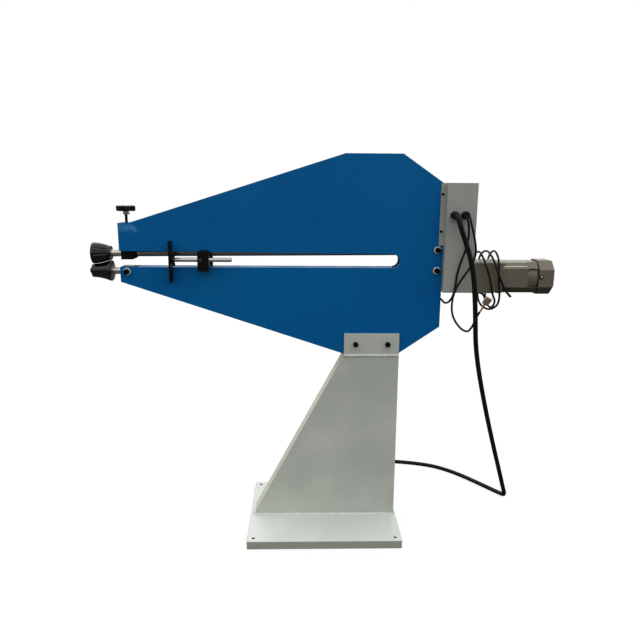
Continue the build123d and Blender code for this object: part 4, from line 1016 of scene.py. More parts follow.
def hex_nut(name: str, start: Vector, end: Vector, flats: float, bore: float) -> Piece:
    """Model a hexagon nut with chamfered corners.

    Args:
        name: The nut's name.
        start: The middle of one face.
        end: The middle of the other face.
        flats: The width across flats.
        bore: The bore's diameter.

    Returns:
        The nut.
    """
    over = (end - start).normalized() * MM
    nut = hex_bar(name, start, end, flats)
    return smooth(combine(nut, rod("nut_bore", start - over, end + over, bore / 2)), FACET_ANGLE)


def arc_through(first: Corner, second: Corner, third: Corner, count: int = 14) -> list[Corner]:
    """Return points of the arc that an outline follows through three corners.

    Args:
        first: The arc's start, as station and radius.
        second: A corner on the way.
        third: The arc's end.
        count: How many steps the arc has.

    Returns:
        The points from start to end.
    """
    a, b, c = (complex(*corner) for corner in (first, second, third))
    ratio = (c - a) / (b - a)
    centre = a - (a - b) * (ratio - abs(ratio) ** 2) / (2j * ratio.imag)
    start = cmath.phase(a - centre)
    sweep = cmath.phase((c - centre) / (a - centre))
    spots = [centre + cmath.rect(abs(a - centre), start + sweep * step / count) for step in range(count + 1)]
    return [(spot.real, spot.imag) for spot in spots]


@dataclass(frozen=True)
class CapScrew:
    """A socket head cap screw modelled along +Z with its seat at zero."""

    head_radius: float
    head_height: float
    shank_radius: float
    shank_length: float
    socket: float
    socket_floor: float = 0.45
    rim_share: float = 0.1
    tool_top: float = 1.2

    def model(self, name: str) -> Piece:
        """Model the screw.

        Args:
            name: The screw's name.

        Returns:
            The screw.
        """
        top = self.head_height
        screw = rod(name, ORIGIN, mm(0, 0, top), self.head_radius, 48)
        with editing(screw):
            pick_faces(screw, lambda normal, middle: normal.z < -ALIGNED)
            bpy.ops.mesh.inset(thickness=(self.head_radius - self.shank_radius) * MM)
            extrude(mm(0, 0, -self.shank_length))
        with editing(screw, "EDGE"):
            pick_edges(screw, lambda a, b: min(a.z, b.z) > (top - 0.01) * MM)
            bpy.ops.mesh.bevel(offset=self.head_radius * self.rim_share * MM, segments=3)
        low, high = mm(0, 0, top * self.socket_floor), mm(0, 0, top * self.tool_top)
        return smooth(combine(screw, rod("key", low, high, self.socket / math.sqrt(3), 6)))


@dataclass(frozen=True)
class CrossScrew:
    """A pan head screw with a cross recess, modelled along +Z with its seat at zero."""

    head_radius: float
    head_height: float
    shank_radius: float
    shank_length: float
    dome: tuple[Corner, ...] = ((0.35, 1.0), (0.75, 0.84), (0.95, 0.5))
    recess: Corner = (0.62, 0.13)
    recess_floor: float = 0.45
    tool_top: float = 1.5

    def model(self, name: str) -> Piece:
        """Model the screw.

        Args:
            name: The screw's name.

        Returns:
            The screw.
        """
        r, h = self.head_radius, self.head_height
        end, shank = -self.shank_length, self.shank_radius
        head = [(rise * h, share * r) for rise, share in self.dome]
        screw = lathe(name, ORIGIN, UP, [(end, 0), (end, shank), (0, shank), (0, r), *head, (h, 0)], 40)
        long, wide = self.recess
        for x, y in ((long * r, wide * r), (wide * r, long * r)):
            combine(screw, block("recess", mm(-x, -y, h * self.recess_floor), mm(x, y, h * self.tool_top)))
        return smooth(screw)


@dataclass(frozen=True)
class Washer:
    """A flat washer with chamfered rims, modelled along +Z with its seat at zero."""

    bore_radius: float
    radius: float
    thickness: float
    chamfer: float
    steps: int = 64

    def model(self, name: str) -> Piece:
        """Model the washer.

        Args:
            name: The washer's name.

        Returns:
            The washer.
        """
        bore, r, t, c = self.bore_radius, self.radius, self.thickness, self.chamfer
        ring = [(0, bore), (0, r - c), (c, r), (t - c, r), (t, r - c), (t, bore), (0, bore)]
        return smooth(lathe(name, ORIGIN, UP, ring, self.steps))


# Sub-assemblies


@dataclass
class Stand:
    """The base plate and the welded pedestal with its two brackets."""

    foot_left: float = -246.5
    foot_right: float = 251.5
    top_left: float = 65.5
    half_depth: float = 35.0
    base_top: float = 28.0
    top: float = 616.0
    bead_radius: float = 4.4
    bead_sides: int = 10
    bead_step: float = 1.6
    bead_smooth: float = 60.0
    ripple_sizes: Corner = (8.0, 30.0)
    ripple_depth: float = 3.6
    ripple_level: float = 0.55
    bolt: CapScrew = CapScrew(8.5, 10.0, 5.0, 86.0, 8.0)
    bolt_xs: Corner = (104.5, 212.5)
    bolt_z: float = 655.0
    bolt_turn: float = 20.0
    nut_height: float = 8.0
    nut_flats: float = 17.0
    nut_bore: float = 10.2
    hole_x: float = 236.5
    hole_y: float = 186.5
    cup_outer: float = 5.4
    cup_inner: float = 4.3
    cup_bottom: float = 1.0
    cup_floor: float = 4.0
    cup_top: float = 26.0
    cup_chamfer: Corner = (0.5, 0.4)

    def build(self) -> None:
        """Dress the plates, lay the weld beads and fit the bracket bolts."""
        dress(BASE_LIT_AND_SHADED_GREY, "base_plate")
        dress(PEDESTAL_GREY, "pedestal_side_walls", "pedestal_back_wall", "pedestal_cap_plate")
        dress(PEDESTAL_GREY, "frame_brackets")
        dress(SLOPE_LIT_CREAM, "pedestal_slope_wall")
        self.lay_beads()
        self.fit_bolts()
        self.shade_holes_with_cups()

    def lay_beads(self) -> None:
        """Lay the weld beads round the foot and under the brackets."""
        left, right, foot, top = self.foot_left, self.foot_right, self.base_top, self.top
        near, far = -self.half_depth, self.half_depth
        seams = {
            "foot_weld_operator": (mm(left, near, foot), mm(right, near, foot)),
            "foot_weld_wall": (mm(left, far, foot), mm(right, far, foot)),
            "foot_weld_front": (mm(left, near, foot), mm(left, far, foot)),
            "foot_weld_rear": (mm(right, near, foot), mm(right, far, foot)),
            "bracket_weld_operator": (mm(self.top_left, near, top), mm(right, near, top)),
            "bracket_weld_wall": (mm(self.top_left, far, top), mm(right, far, top)),
        }
        for name, (start, end) in seams.items():
            # The beads' lighter grey is painted light.
            fit(self.weld_bead(name, start, end), "frame", "pedestal_grey", WELD_LIT_GREY)

    def weld_bead(self, name: str, start: Vector, end: Vector) -> Piece:
        """Model one rippled weld bead along a seam.

        Args:
            name: The bead's name.
            start: The seam's start.
            end: The seam's end.

        Returns:
            The bead.
        """
        run = (end - start).normalized()
        bead = rod(name, start, end, self.bead_radius, self.bead_sides)
        cuts = max(4, round(math.sqrt((end - start).length / (self.bead_step * MM))) - 1)
        with editing(bead, "EDGE"):
            for _ in range(2):
                pick_edges(bead, lambda a, b: abs((b - a).normalized().dot(run)) > ALIGNED)
                bpy.ops.mesh.subdivide(number_cuts=cuts)
        for size in self.ripple_sizes:
            ripple = bpy.data.textures.new(name + "_ripple", "CLOUDS")
            ripple.noise_scale = size * MM
            displace = bead.modifiers.new("ripple", "DISPLACE")
            displace.texture = ripple
            displace.texture_coords = "LOCAL"
            displace.strength = self.ripple_depth * MM
            displace.mid_level = self.ripple_level
        apply_modifiers(bead)
        return smooth(bead, self.bead_smooth)

    def fit_bolts(self) -> None:
        """Fit the bracket bolts with their nuts."""
        pattern = self.bolt.model("bolt_pattern")
        near, far, z = -self.half_depth, self.half_depth, self.bolt_z
        for index, x in enumerate(self.bolt_xs, 1):
            place = facing(mm(x, near, z), Toward.OPERATOR, self.bolt_turn * index)
            bolt = copy_to(pattern, f"bracket_bolt_{index}", place)
            fit(bolt, "frame", "black_steel", BLACK_OXIDE, "bracket_bolts")
            low, high = mm(x, far, z), mm(x, far + self.nut_height, z)
            nut = hex_nut(f"bracket_nut_{index}", low, high, self.nut_flats, self.nut_bore)
            fit(nut, "frame", "black_steel", BLACK_OXIDE)
        discard(pattern)

    def shade_holes_with_cups(self) -> None:
        """Line the anchor holes with black sunk cups, a painted shade that darkens the holes above the white
        floor.
        """
        outer, inner, top = self.cup_outer, self.cup_inner, self.cup_top
        down, inward = self.cup_chamfer
        cup = [
            (self.cup_bottom, 0), (self.cup_bottom, outer), (top - down, outer), (top, outer - inward),
            (top, inner), (self.cup_floor, inner), (self.cup_floor, 0),
        ]
        pattern = smooth(lathe("hole_shade_cup_pattern", ORIGIN, UP, cup, 32))
        sites = [(x * self.hole_x, y * self.hole_y) for x in (-1, 1) for y in (-1, 1)]
        for index, (x, y) in enumerate(sites, 1):
            # Each black cup is painted shade inside its hole.
            shade_cup = copy_to(pattern, f"anchor_hole_cup_{index}", Matrix.Translation(mm(x, y, 0)))
            fit(shade_cup, "frame", "black_plastic", BLACK_PLASTIC)
        discard(pattern)


@dataclass
class FramePlates:
    """The two blue frame plates, the strips between their edges and the nut block."""

    def build(self) -> None:
        """Dress the plates, the strips and the block."""
        dress(FRAME_BLUE, "frame_plate_front", "frame_plate_rear", "frame_edge_strips")
        dress(BLACK_OXIDE, "screw_nut_block")


@dataclass
class ShaftDrive:
    """The shafts, gears, bearings and the screws that hold them."""

    screw: CapScrew = CapScrew(9.0, 12.0, 6.0, 22.0, 10.0)
    washer: Washer = Washer(6.2, 12.0, 2.5, 0.4)
    screw_sites: tuple[Corner, ...] = ((-646.0, 897.0), (368.0, 904.0), (368.0, 971.5))
    screw_turn: float = 14.0
    plate_face: float = 27.0

    def build(self) -> None:
        """Dress the turning parts and fit the bearing screws."""
        dress(SHAFT_STEEL, "upper_shaft", "lower_shaft")
        dress(GROUND_STEEL, "upper_gear", "lower_gear", "gearbox_output_shaft")
        dress(GROUND_STEEL, "shaft_coupling", "thrust_shoe")
        dress(BUSH_BRONZE, "upper_bushes", "lower_bushes")
        dress(BLACK_OXIDE, "lower_bearing_blocks", "upper_front_block", "upper_rear_block")
        dress(BLACK_OXIDE, "upper_collar", "lower_collar", "motor_bracket", "gearbox_screws")
        self.fit_screws()

    def fit_screws(self) -> None:
        """Fit a cap screw and a washer at each bearing, on both sides."""
        screw = self.screw.model("screw_pattern")
        washer = self.washer.model("washer_pattern")
        for index, (x, z) in enumerate(self.screw_sites, 1):
            for side in BOTH_SIDES:
                label = f"{index}_{side.name.lower()}"
                face = mm(x, side.direction.y * self.plate_face, z)
                flat = copy_to(washer, f"bearing_washer_{label}", facing(face, side))
                fit(flat, "frame", "bright_steel", WASHER_SHINE_WHITE, "bearing_screws")
                seat = face + side.direction * self.washer.thickness * MM
                head = copy_to(screw, f"bearing_screw_{label}", facing(seat, side, self.screw_turn * index))
                fit(head, "frame", "black_steel", BLACK_OXIDE, "bearing_screws")
        discard(screw)
        discard(washer)


@dataclass
class DieHead:
    """The pair of forming dies on the noses of the shafts, with their bolts."""

    bearing_x: float = 368.0
    upper_z: float = 964.5
    lower_z: float = 897.0
    tilt: float = 0.5
    front: float = -1128.0
    middle: float = -1101.5
    rim: float = -1075.0
    back: float = -1069.0
    lower_front: float = -1132.0
    bore: float = 10.1
    recess: Corner = (10.0, 12.0)
    upper_radii: Point = (34.9, 31.4, 23.3)
    lower_radii: Point = (22.1, 25.8, 34.15)
    die_steps: int = 72
    die_smooth: float = 28.0
    flute_every: int = 4
    flute_depth: float = 1.5
    flute_margins: Corner = (4.0, 2.0)
    flute_inside: float = 18.0
    shank: Corner = (25.0, 5.0)
    flange: Corner = (2.0, 10.0)
    head_height: float = 6.0
    head_flats: float = 16.0

    def build(self) -> None:
        """Turn the dies, flute the upper one and fit the bolts."""
        slope = math.radians(self.tilt)
        upper_axis = Vector((math.cos(slope), 0, math.sin(slope)))
        upper, lower = mm(self.bearing_x, 0, self.upper_z), mm(self.bearing_x, 0, self.lower_z)
        die = lathe("upper_forming_die", upper, upper_axis, self.upper_outline(), self.die_steps)
        self.cut_flutes(die, upper, upper_axis)
        fit(smooth(die, self.die_smooth), "upper_spindle", "black_steel", DIE_BLACK, "upper_die")
        die = lathe("lower_forming_die", lower, ALONG, self.lower_outline(), self.die_steps)
        fit(smooth(die, self.die_smooth), "lower_drive", "black_steel", DIE_BLACK, "lower_die")
        bolt = self.bolt("upper_die_flange_bolt", upper, upper_axis, self.front + self.recess[0])
        fit(bolt, "upper_spindle", "black_steel", BLACK_OXIDE, "upper_die_bolt")
        bolt = self.bolt("lower_die_flange_bolt", lower, ALONG, self.lower_front)
        fit(bolt, "lower_drive", "black_steel", BLACK_OXIDE, "lower_die_bolt")

    def upper_outline(self) -> list[Corner]:
        """Draw the upper die: a swelling barrel with a rim and a sunk bolt seat.

        Returns:
            Its outline.
        """
        wide, swell, narrow = self.upper_radii
        deep, seat = self.recess
        front, rim, back, bore = self.front, self.rim, self.back, self.bore
        barrel = arc_through((rim, narrow), (self.middle, swell), (front, wide))
        return [
            (back, bore), (back, narrow - 0.9), (back - 0.9, narrow), (rim + 0.9, narrow),
            (rim + 0.5, narrow - 0.7), *barrel[:-1], (front + 1.6, wide - 0.15), (front + 0.5, wide - 0.7),
            (front, wide - 1.8), (front, seat + 0.6), (front + 0.6, seat), (front + deep, seat),
            (front + deep, bore), (back, bore),
        ]

    def lower_outline(self) -> list[Corner]:
        """Draw the lower die: a flare towards the frame with a short nose.

        Returns:
            Its outline.
        """
        narrow, flare, wide = self.lower_radii
        front, back, bore = self.lower_front, self.back, self.bore
        hollow = arc_through((self.rim, wide), (self.middle, flare), (self.front, narrow))
        return [
            (back, bore), (back, wide - 1.2), (back - 0.4, wide - 0.4), (back - 1.2, wide), *hollow,
            (front + 1.2, narrow), (front + 0.3, narrow - 0.4), (front, narrow - 1.2), (front, bore),
            (back, bore),
        ]

    def cut_flutes(self, die: Piece, origin: Vector, axis: Vector) -> None:
        """Sink narrow flutes along the barrel of a die.

        Args:
            die: The die.
            origin: A point of its axis.
            axis: The direction of its axis.
        """
        side = axis.orthogonal().normalized()
        other = axis.cross(side)
        low, high = (self.front + self.flute_margins[0]) * MM, (self.rim - self.flute_margins[1]) * MM

        def fluted(spot: Vector) -> bool:
            """Tell whether a corner lies on the bottom line of a flute.

            Args:
                spot: The corner.

            Returns:
                Whether it does.
            """
            away = spot - origin
            station = away.dot(axis)
            turn = math.atan2(away.dot(other), away.dot(side)) / FULL_TURN * self.die_steps
            outside = (away - axis * station).length > self.flute_inside * MM
            return outside and low < station < high and round(turn) % self.flute_every == 0

        with editing(die, "EDGE"):
            pick_edges(die, lambda start, end: fluted(start) and fluted(end))
            bpy.ops.transform.shrink_fatten(value=-self.flute_depth * MM)

    def bolt(self, name: str, origin: Vector, axis: Vector, seat: float) -> Piece:
        """Model a flange bolt that holds a die on its nose.

        Args:
            name: The bolt's name.
            origin: The point of the axis where the stations start.
            axis: The direction of the axis.
            seat: The station under its flange.

        Returns:
            The bolt.
        """
        length, thin = self.shank
        height, wide = self.flange
        end, face = seat + length, seat - height
        stem = [
            (end, 0), (end, thin - 0.6), (end - 0.6, thin), (seat, thin), (seat, wide - 0.4),
            (seat - 0.4, wide), (face + 0.8, wide), (face, wide - 0.8), (face, 0),
        ]
        flange = lathe(name + "_stem", origin, axis, stem, 48)
        low, high = origin + axis * face * MM, origin + axis * (face - self.head_height) * MM
        return smooth(unite(name, [flange, hex_bar(name + "_head", low, high, self.head_flats)]))


@dataclass
class PressureScrew:
    """The screw that presses the upper shaft down, with its knob and lock nut."""

    x: float = -646.0
    core: float = 4.2
    crest: float = 5.0
    pitch: float = 1.5
    crest_shares: Corner = (0.44, 0.56)
    root_depth: float = 0.3
    tip_radius: float = 4.0
    tip_length: float = 8.0
    tip_chamfer: float = 0.4
    tip_seat: float = 0.3
    shoulder: Corner = (10.0, 12.0)
    bottom: float = 991.65
    top: float = 1099.5
    thread_bottom: float = 1000.0
    thread_turns: int = 54
    thread_steps: int = 28
    nut_bottom: float = 1079.5
    nut_top: float = 1090.5
    nut_flats: float = 16.0
    nut_bore: float = 10.1
    pin: CapScrew = CapScrew(2.6, 3.0, 1.5, 2.0, 2.5)
    pin_place: Corner = (9.0, 4.0)

    def build(self) -> None:
        """Cut the thread, chamfer the lock nut and dress the knob."""
        dress(KNOB_BLACK, "star_knob")
        core = lathe("pressure_screw_stem", mm(self.x, 0, self.bottom), UP, self.stem_outline(), 48)
        screw = smooth(unite("pressure_screw_threaded", [core, self.thread()]), SOFT_ANGLE)
        fit(screw, "knob_screw", "black_steel", BLACK_OXIDE, "pressure_screw")
        pin = self.pin.model("hub_pin_pattern")
        aside, above = self.pin_place
        place = facing(mm(self.x + aside, 0, self.nut_bottom + above), Toward.MOTOR)
        fit(copy_to(pin, "knob_hub_pin", place), "knob_screw", "bright_steel", ZINC_STEEL)
        discard(pin)
        low, high = mm(self.x, 0, self.nut_bottom), mm(self.x, 0, self.nut_top)
        nut = hex_nut("lock_nut_chamfered", low, high, self.nut_flats, self.nut_bore)
        fit(nut, "knob_screw", "bright_steel", ZINC_STEEL, "lock_nut")

    def stem_outline(self) -> list[Corner]:
        """Draw the screw without its thread, from its shoe up.

        Returns:
            Its outline.
        """
        tip, end, chamfer, seat = self.tip_radius, -self.tip_length, self.tip_chamfer, self.tip_seat
        plain, taper = self.shoulder
        nut, top = self.nut_bottom - self.bottom, self.top - self.bottom
        return [
            (end, 0), (end, tip - chamfer), (end + chamfer, tip), (seat, tip), (seat, self.crest),
            (plain, self.crest), (taper, self.core), (nut, self.core), (nut, self.crest),
            (top, self.crest), (top, 0),
        ]

    def thread(self) -> Piece:
        """Wind the screw thread from one pitch of its profile.

        Returns:
            The thread's closed surface.
        """
        pitch, root, crest = self.pitch, self.core - self.root_depth, self.crest
        start, end = (share * pitch for share in self.crest_shares)
        profile = [(root, 0.0), (crest, start), (crest, end), (root, pitch)]
        piece = chain("pressure_screw_thread", [mm(radius, 0, z) for radius, z in profile])
        winding = piece.modifiers.new("winding", "SCREW")
        winding.axis = "Z"
        winding.screw_offset = pitch * MM
        winding.iterations = self.thread_turns
        winding.steps = winding.render_steps = self.thread_steps
        winding.use_merge_vertices = True
        winding.merge_threshold = SAME_PLACE
        apply_modifiers(piece)
        with editing(piece, "VERT"):
            close_seams()
            bpy.ops.mesh.fill_holes(sides=0)
            close_seams()
        piece.data.transform(Matrix.Translation(mm(self.x, 0, self.thread_bottom)))
        return piece


@dataclass
class SheetGuide:
    """The guide in the throat: clamp, backing plate, rod and fence."""

    x: float = -394.0
    rod_y: float = -44.3
    rod_z: float = 938.5
    rod_ends: Corner = (-503.0, -303.0)
    rod_radius: float = 7.0
    fence_face: float = -497.0
    wing_ends: Corner = (9.4, 21.0)
    wing_low: Corner = (-2.2, 2.0)
    wing_high: Corner = (2.2, 12.0)
    wing_lift: float = 1.6
    wing_rounding: float = 1.8
    nut_clearance: float = 0.1
    nut_turn: float = 80.0
    set_screw: CapScrew = CapScrew(5.6, 1.6, 4.0, 5.0, 5.0)
    screw_x: float = -402.0
    screw_turn: float = 9.0
    block_face: float = -57.3
    bolt_z: float = 924.8
    bolt_seat: float = 39.3
    bolt_height: float = 9.0
    bolt_flats: float = 16.0

    def build(self) -> None:
        """Dress the guide, turn the rod and fit the screws and the wing nut."""
        dress(BLACK_OXIDE, "guide_clamp", "clamp_backing", "fence_plate")
        fit(self.rod(), "fence", "bright_steel", GROUND_STEEL, "guide_rod")
        nut = self.wing_nut()
        place = facing(mm(self.fence_face, self.rod_y, self.rod_z), Toward.MOTOR, self.nut_turn)
        fit(copy_to(nut, "fence_wing_nut", place), "fence", "black_steel", BLACK_OXIDE, "fence_nut")
        discard(nut)
        screw = self.set_screw.model("clamp_screw_pattern")
        place = facing(mm(self.screw_x, self.block_face, self.rod_z), Toward.OPERATOR, self.screw_turn)
        fit(copy_to(screw, "clamp_set_screw", place), "guide", "black_steel", WORN_OXIDE, "clamp_screws")
        discard(screw)
        seat = mm(self.x, self.bolt_seat, self.bolt_z)
        head = hex_bar("clamp_bolt_head", seat, seat + mm(0, self.bolt_height, 0), self.bolt_flats)
        fit(head, "guide", "black_steel", BLACK_OXIDE, "clamp_screws")

    def rod(self) -> Piece:
        """Turn the guide rod with its rounded ends.

        Returns:
            The rod.
        """
        start, end = self.rod_ends
        length, r = end - start, self.rod_radius
        outline = [
            (0, 0), (0, r - 1.2), (0.4, r - 0.4), (1.2, r), (length - 3, r), (length - 1.4, r - 0.5),
            (length - 0.4, r - 1.7), (length, r - 3.2), (length, 0),
        ]
        return smooth(lathe("guide_bar", mm(start, self.rod_y, self.rod_z), ALONG, outline, 48))

    def wing_nut(self) -> Piece:
        """Model a wing nut along +Z with its seat at zero.

        Returns:
            The nut.
        """
        inner = self.rod_radius + self.nut_clearance
        outline = [
            (0, inner), (0, 11.5), (0.6, 12), (3, 12), (8, 10), (9.4, 9.6), (10, 9), (10, inner), (0, inner),
        ]
        hub = lathe("wing_nut_hub", ORIGIN, UP, outline, 40)
        wings = []
        for name, side in (("wing_upper", 1), ("wing_lower", -1)):
            low, high = sorted(side * end for end in self.wing_ends)
            wing = block(name, mm(low, *self.wing_low), mm(high, *self.wing_high))
            with editing(wing):
                pick_faces(wing, lambda normal, middle: normal.x * side > ALIGNED)
                bpy.ops.transform.translate(value=mm(0, 0, self.wing_lift))
            wings.append(soften(wing, self.wing_rounding, 3))
        return smooth(unite("wing_nut_pattern", [hub, *wings]))


@dataclass
class SwitchCabinet:
    """The folded cabinet with its cover, screws, glands and speed controller."""

    screw: CrossScrew = CrossScrew(4.5, 3.6, 2.5, 7.0)
    screw_turn: float = 31.0
    flange_screws: tuple[Corner, ...] = ((376.0, 1151.0), (376.0, 1032.0))
    flange_face: float = -29.0
    cover_face: float = 54.0
    cover_xs: Corner = (401.0, 468.0)
    cover_zs: Corner = (849.5, 1171.5)
    front_face: float = -54.0
    gland_xs: Corner = (409.5, 443.5)
    gland_z: float = 1086.0
    gland_turn: float = 12.0
    gland_sides: int = 48
    hexagon_height: float = 8.0
    hexagon_radius: float = 13.0
    cap_ends: Corner = (11.0, 22.0)
    cap_radius: float = 12.5
    groove: Corner = (0.15, 0.7)

    def build(self) -> None:
        """Dress the sheet metal and fit the screws and glands."""
        dress(CABINET_GREY, "cabinet_shell", "cabinet_cover")
        dress(BLACK_PLASTIC, "speed_controller")
        self.fit_screws()
        self.fit_glands()

    def fit_screws(self) -> None:
        """Fit the flange's and the cover's screws."""
        pattern = self.screw.model("cross_screw_pattern")
        sites = [(x, self.flange_face, z, Toward.OPERATOR) for x, z in self.flange_screws]
        sites += [(x, self.cover_face, z, Toward.WALL) for x in self.cover_xs for z in self.cover_zs]
        for index, (x, y, z, side) in enumerate(sites, 1):
            place = facing(mm(x, y, z), side, self.screw_turn * index)
            screw = copy_to(pattern, f"cabinet_screw_{index}", place)
            finish = BLACK_OXIDE if side is Toward.OPERATOR else ZINC_STEEL
            fit(screw, "frame", "bright_steel", finish, "cabinet_screws")
        discard(pattern)

    def fit_glands(self) -> None:
        """Fit a ribbed gland for the mains cable and one for the leads."""
        pattern = self.gland()
        for name, x in zip(("mains", "leads"), self.gland_xs):
            place = facing(mm(x, self.front_face, self.gland_z), Toward.OPERATOR, self.gland_turn)
            gland = copy_to(pattern, f"{name}_gland", place)
            fit(gland, "frame", "black_plastic", BLACK_PLASTIC, f"gland_{name}")
        discard(pattern)

    def gland(self) -> Piece:
        """Model a cable gland along +Z with its flange at zero.

        Returns:
            The gland.
        """
        sides, height = self.gland_sides, self.hexagon_height
        low, high = self.cap_ends
        hexagon = soften(rod("gland_hexagon", ORIGIN, mm(0, 0, height), self.hexagon_radius, 6), 0.7)
        neck = [(-7, 0), (-7, 9), (0, 9), (height, 9), (height, 11), (low, 11), (low, 0)]
        body = lathe("gland_neck", ORIGIN, UP, neck, sides)
        cap = rod("gland_cap", mm(0, 0, low), mm(0, 0, high), self.cap_radius, sides)

        def grooved(normal: Vector, middle: Vector) -> bool:
            """Return whether a face is one of every second round the cap."""
            turn = math.atan2(middle.y, middle.x) * sides / FULL_TURN - 0.5
            return abs(normal.z) < 0.5 and round(turn) % 2 == 0

        with editing(cap):
            pick_faces(cap, grooved)
            margin, depth = self.groove
            bpy.ops.mesh.inset(thickness=margin * MM, depth=-depth * MM, use_individual=True)
        dome = [(high, 0), (high, 12.3), (23.4, 11.8), (25, 10.6), (26, 9.6), (26, 0)]
        tip = lathe("gland_dome", ORIGIN, UP, dome, sides)
        return smooth(unite("gland_pattern", [hexagon, body, cap, tip]))


@dataclass
class GearMotor:
    """The gearbox, motor and fan cover behind the cabinet."""

    axis_z: float = 883.5
    cover_end: float = 753.0
    cover_side: float = 56.0
    screw: CrossScrew = CrossScrew(4.6, 3.2, 2.5, 5.0)
    washer: Washer = Washer(2.6, 7.0, 1.3, 0.3, 40)
    screw_x: float = 708.0
    screw_z: float = 887.0
    screw_turn: float = 20.0
    earth_turn: float = 40.0
    earth_x: float = 588.0
    earth_offset: float = 41.0
    bevel_sum: float = 81.5
    rib_start: float = 584.0
    rib_length: float = 79.0
    ribs: tuple[Corner, ...] = ((32.8, 1.2), (45.4, 2.3))
    vent_radius: float = 37.0
    vent_sunk: float = 1.0
    vent_height: float = 1.4
    vent_chamfer: Corner = (0.5, 0.6)
    slot_pitch: float = 8.5
    slot_reach: float = 31.0
    slot_half: float = 2.0
    slot_floor: float = 0.1
    slot_top: float = 3.0
    slot_rows: int = 3
    mount_low: Point = (536.0, -16.0, 934.0)
    mount_high: Point = (548.0, -4.0, 939.0)

    def build(self) -> None:
        """Dress the cases and fit the screws, the ribs, the vent plate and the tie mount."""
        dress(GEARBOX_GREY, "gearbox_case", "gearbox_flange")
        dress(MOTOR_GREY, "motor_body", "fan_cover")
        dress(BLACK_PLASTIC, "motor_band", "lead_grommets")
        self.fit_screws()
        self.fit_ribs()
        self.fit_vent()
        mount = soft_block("lead_tie_mount", self.mount_low, self.mount_high, 1.2)
        fit(smooth(mount), "frame", "connector_cream", CONNECTOR_CREAM)

    def fit_screws(self) -> None:
        """Fit the fan cover's screws on their washers, and the earth screw."""
        screw = self.screw.model("fan_screw_pattern")
        washer = self.washer.model("fan_washer_pattern")
        for side in BOTH_SIDES:
            label = side.name.lower()
            face = mm(self.screw_x, side.direction.y * self.cover_side, self.screw_z)
            flat = copy_to(washer, f"fan_washer_{label}", facing(face, side))
            fit(flat, "frame", "black_steel", BLACK_OXIDE)
            seat = face + side.direction * self.washer.thickness * MM
            head = copy_to(screw, f"fan_screw_{label}", facing(seat, side, self.screw_turn))
            fit(head, "frame", "bright_steel", ZINC_STEEL)
        earth = mm(self.earth_x, -self.earth_offset, self.axis_z + self.earth_offset)
        head = copy_to(screw, "earth_screw", facing(earth, Toward.BEVEL, self.earth_turn))
        fit(head, "frame", "bright_steel", WIRE_RED)
        discard(screw)
        discard(washer)

    def fit_ribs(self) -> None:
        """Fit the ribs along the upper bevels of the motor, in a pale finish that paints the highlights on
        them.
        """
        for index, (inset, r) in enumerate(self.ribs, 1):
            nose = [(0, 0), (0, r - 0.9), (0.5, r - 0.2), (1.4, r)]
            outline = nose + [(self.rib_length - station, radius) for station, radius in reversed(nose)]
            pattern = smooth(lathe("motor_rib_pattern", ORIGIN, ALONG, outline, 20))
            z = self.axis_z + self.bevel_sum - inset
            for side in BOTH_SIDES:
                place = Matrix.Translation(mm(self.rib_start, side.direction.y * inset, z))
                rib = copy_to(pattern, f"motor_rib_{side.name.lower()}_{index}", place)
                fit(rib, "frame", "motor_grey", RIB_HIGHLIGHT_GREY)
            discard(pattern)

    def fit_vent(self) -> None:
        """Fit the slotted vent plate on the end of the fan cover."""
        x, r, back, top = self.cover_end, self.vent_radius, -self.vent_sunk, self.vent_height
        down, inward = self.vent_chamfer
        outline = [(back, 0), (back, r), (top - down, r), (top, r - inward), (top, 0)]
        plate = lathe("fan_vent_plate", mm(x, 0, self.axis_z), ALONG, outline)
        for row in range(-self.slot_rows, self.slot_rows + 1):
            rise = row * self.slot_pitch
            reach = math.sqrt(self.slot_reach**2 - rise**2)
            z = self.axis_z + rise
            low = mm(x + self.slot_floor, -reach, z - self.slot_half)
            high = mm(x + self.slot_top, reach, z + self.slot_half)
            combine(plate, block("vent_slot", low, high))
        fit(smooth(plate), "frame", "motor_grey", MOTOR_GREY)


